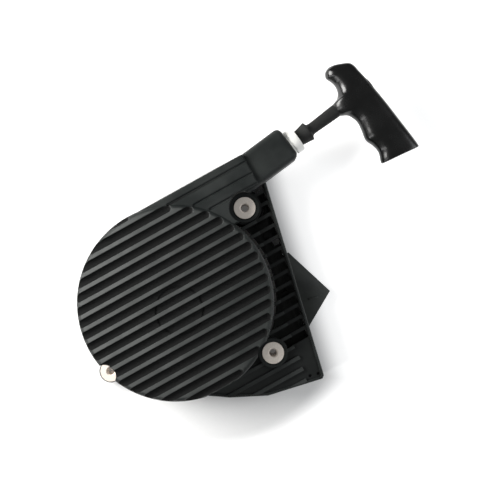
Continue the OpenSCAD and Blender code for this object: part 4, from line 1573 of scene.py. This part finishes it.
@dataclass
class Handle:
    """The pull handle: an asymmetric glossy grip, its matte stem and the cap over the knot."""

    line: RopeLine
    half: float = 11.0
    stem_l: float = 52.0
    stem_bore_r: float = 5.65
    rope_bore_r: float = 2.65
    pocket_r: float = 6.4
    pocket_x: float = 57.75
    cap_r: float = 8.0
    cap_x: float = 73.2
    finger_power: float = 2.1
    face_power: float = 4.2
    end_round: float = 1.5
    stations: tuple[tuple[float, ...], ...] = (
        (52.6, 32.2, 57.0, 32.7, 0.30), (50.2, 30.2, 62.6, 30.4, 0.62),
        (48.6, 26.3, 71.0, 25.6, 0.82), (50.1, 21.9, 73.4, 21.2, 0.90),
        (50.9, 17.2, 73.9, 16.0, 0.93), (49.6, 11.6, 74.5, 11.0, 0.95),
        (45.6, 7.2, 75.0, 6.6, 0.97), (39.5, 5.2, 75.4, 2.6, 0.98),
        (37.5, 0.0, 75.7, -2.0, 1.00), (39.5, -5.4, 75.9, -7.0, 1.00),
        (45.2, -9.6, 76.1, -11.5, 1.00), (48.0, -17.6, 76.4, -19.5, 1.00),
        (46.9, -25.7, 76.6, -29.0, 1.00), (44.7, -34.7, 76.8, -38.5, 1.00),
        (46.8, -42.2, 77.0, -47.5, 0.98), (47.2, -49.5, 77.1, -56.0, 0.95),
        (43.8, -57.6, 77.0, -64.4, 0.90), (46.0, -59.4, 75.6, -65.2, 0.80),
    )

    @property
    def place(self) -> Matrix:
        """Places a shape that is drawn from the collar's front on the rope."""
        return self.line.flat @ Matrix.Translation((self.line.collar, 0, 0))

    def section(self, row: Sequence[float], eased: float, sides: int = 64) -> list[Sequence[float]]:
        """One section of the grip, rounder on the fingers' side than on the outer face.

        Args:
            row: Inner point, outer point and share of the full thickness.
            eased: How far the section is drawn in, to round the grip's ends.
            sides: Points round the section.

        Returns:
            The points.
        """
        width = math.hypot(row[2] - row[0], row[3] - row[1])
        keep = 1 - 2 * eased / width
        points = []
        for k in range(sides):
            a = 2 * math.pi * (k + 0.5) / sides
            power = 2 / (self.finger_power if math.cos(a) > 0 else self.face_power)
            f = 0.5 - 0.5 * keep * signed_power(math.cos(a), power)
            z = (self.half * row[4] - eased) * signed_power(math.sin(a), power)
            points.append((row[0] + (row[2] - row[0]) * f, row[1] + (row[3] - row[1]) * f, z))
        return points

    def grip(self) -> Shape:
        """The grip with the holes for its stem, rope and knot."""
        steps = 8
        rows = smooth_stations(self.stations, steps)
        sections = []
        for i, row in enumerate(rows):
            near_end = max(1 - i / steps, 1 - (len(rows) - 1 - i) / steps, 0.0)
            sections.append(self.section(row, self.end_round * (1 - math.sqrt(1 - near_end**2))))
        solid = Shape.loft("grip", sections)
        bores = [
            self.bore(self.stem_bore_r, 30, self.stem_l + 0.05),
            self.bore(self.rope_bore_r, 31, 70, 48),
            self.bore(self.pocket_r, self.pocket_x, 98),
            self.bore(self.cap_r, self.cap_x, 84),
        ]
        return solid.carve(Cut.AWAY, *bores).move(self.place)

    def bore(self, r: float, start: float, end: float, steps: int = 64) -> Shape:
        """A cylinder along the rope, for cutting the grip."""
        tool = Shape.lathe([(0, start), (r, start), (r, end), (0, end)], steps)
        return tool.move(Matrix.Rotation(math.pi / 2, 4, "Y"))

    def stem(self) -> Shape:
        """The flared collar, its waist and the stem's sleeve."""
        bore, end = 2.6, self.stem_l
        outline = [
            (bore, 0.3), (3.0, 0.0), (6.1, 0.0), (6.55, 0.15), (6.75, 0.6), (7.0, 2.0), (7.45, 5.0),
            (8.05, 8.4), (8.35, 9.7), (8.38, 10.4), (8.1, 10.85), (7.6, 11.0), (6.3, 11.4), (5.35, 12.4),
            (4.9, 14.0), (5.0, 20.0), (5.45, 32.0), (5.58, 38.0), (5.58, end - 0.3), (5.3, end),
            (bore, end),
        ]
        return Shape.lathe(outline, 96).move(self.line.turned(self.line.collar))

    def cap(self) -> Shape:
        """The cap that closes the knot's pocket, slightly dished."""
        x, r = self.cap_x, self.cap_r - 0.15
        inner, outer = self.pocket_r - 1.2, self.pocket_r - 0.1
        outline = [
            (inner, x - 2), (outer, x - 2), (outer, x + 0.05), (r, x + 0.05), (r, x + 1.6), (7.5, x + 2.0),
            (6.6, x + 2.0), (6.2, x + 1.7), (0, x + 1.55), (0, x + 0.2), (inner, x + 0.2),
        ]
        return Shape.lathe(outline, 96).move(self.line.turned(self.line.collar))

    def build(self) -> None:
        """Makes the handle's pieces."""
        self.grip().piece("grip_moulding", "handle", "grip_plastic", GRIP.material, ["grip"], 36)
        self.stem().piece("stem_and_collar", "handle", "stem_plastic", STEM.material, ["stem_sleeve"], 36)
        self.cap().piece("grip_cap_disc", "handle", "grip_plastic", STEM.material, ["grip_cap"], 36)


# ------------------------------------------------------------------ studio


@dataclass
class Studio:
    """A pale floor that glows around the part, soft lights and the camera."""

    middle: tuple[float, float, float] = (0.0745, 0.0084, 0.02)
    camera_height: float = 0.85
    camera_turn: float = -29.0
    lens: float = 70.15
    sky: float = 0.19
    glow: float = 0.6
    glow_middle: Point2 = (0.02, -0.015)
    glow_ring: Point2 = (0.115, 0.14)
    glow_edge: Point2 = (0.099, 0.125)
    bore_ring: Point2 = (0.0045, 0.0055)
    bore_glow: float = 0.1

    def camera(self) -> None:
        """Looks straight down on the ribbed face."""
        data = bpy.data.cameras.new("camera")
        data.lens = self.lens
        data.sensor_width = 36.0
        obj = bpy.data.objects.new("camera", data)
        obj.location = (self.middle[0], self.middle[1], self.camera_height)
        obj.rotation_euler = (0.0, 0.0, math.radians(self.camera_turn))
        bpy.context.scene.collection.objects.link(obj)
        bpy.context.scene.camera = obj

    def floor(self, bores: Sequence[Point2], slope: float) -> None:
        """A wide pale sheet that glows around the part, and faintly below its bores.

        Args:
            bores: Where the upright bores are that one sees the floor through.
            slope: Slope of the flange's long edge, which the glow follows.
        """
        half, low, high = 1500, -6.0, -0.6
        outline = [(-half, -half), (-half, half), (half, half), (half, -half)]
        shape = Shape.prism(outline, low, high)
        mesh = shape.obj.data
        mesh.transform(Matrix.Scale(MM, 4))
        surface = Surface("pale_floor")
        speck = surface.noise(size=3.0)
        colour = surface.nodes.mix(speck, (0.84, 0.84, 0.84), (0.87, 0.87, 0.87))
        x, y, _ = surface.nodes.parts(surface.place)

        def away(from_x: float, from_y: float) -> Field:
            """Distance to an upright line."""
            return ((x - from_x) ** 2 + (y - from_y) ** 2).root()

        light = away(*self.glow_middle).ramp(*self.glow_ring, (0.01, 1.0))
        light = light.at_least((x - y * slope).ramp(*self.glow_edge))
        for place in bores:
            near = away(place[0] * MM, place[1] * MM)
            light = light.at_least(near.ramp(*self.bore_ring, (self.bore_glow, 0.0)))
        light = surface.nodes.vector(light, light, light)
        glow = {"Specular IOR Level": 0.2, "Emission Color": light, "Emission Strength": self.glow}
        mesh.materials.append(surface.done(colour, 0.85, speck, 0.01, 0, glow))
        shape.obj.name = "floor"

    def lamp(self, name: str, where: Sequence[float], size: Point2, power: float, tint: Colour) -> None:
        """A soft rectangular light that looks at the part's middle.

        Args:
            name: Its name.
            where: Its place in metres.
            size: Its width and height in metres.
            power: Its power in watts.
            tint: Its colour.
        """
        data = bpy.data.lights.new(name, "AREA")
        data.shape = "RECTANGLE"
        data.size, data.size_y = size
        data.energy = power
        data.color = tint
        obj = bpy.data.objects.new(name, data)
        obj.location = where
        obj.rotation_euler = (Vector(self.middle) - Vector(where)).to_track_quat("-Z", "Y").to_euler()
        bpy.context.scene.collection.objects.link(obj)

    def build(self, housing: Housing) -> None:
        """Sets up the studio round the housing's place."""
        self.camera()
        self.floor((housing.boss_top, housing.boss_bottom, housing.lug), housing.edge_slope)
        self.lamp("key", (-0.38, 0.42, 0.42), (0.45, 0.35), power=9.6, tint=(1.0, 0.99, 0.97))
        self.lamp("strip", (-0.85, -0.05, 0.55), (0.12, 0.9), power=2.5, tint=(1.0, 1.0, 1.0))
        self.lamp("side", (1.1, -0.5, 0.9), (0.9, 0.9), power=8.0, tint=(0.95, 0.98, 1.0))
        world = bpy.data.worlds.new("studio")
        world.use_nodes = True
        back = world.node_tree.nodes["Background"]
        back.inputs["Color"].default_value = (1.0, 1.0, 1.0, 1.0)
        back.inputs["Strength"].default_value = self.sky
        bpy.context.scene.world = world
        view = bpy.context.scene.view_settings
        view.view_transform = "Standard"
        view.look = "None"


def main() -> None:
    """Builds the part and the studio."""
    logging.basicConfig(level=logging.INFO, format="%(message)s")
    line = RopeLine()
    housing = Housing()
    housing.build()
    Sleeves().build(housing)
    RopeBush(line).build()
    for name, node, places, height, length in (
        ("guide_screws", "air_guide_screws", housing.guide_screws, 5.0, 12.0),
        ("cassette_screw_set", "cassette_screws", housing.ears, 42.4, 6.6),
    ):
        Screws(name, node, "screw_steel", places, height, length).build()
    Inside().build()
    Rope(line).build()
    Handle(line).build()
    Studio().build(housing)


if __name__ == "__main__":
    main()
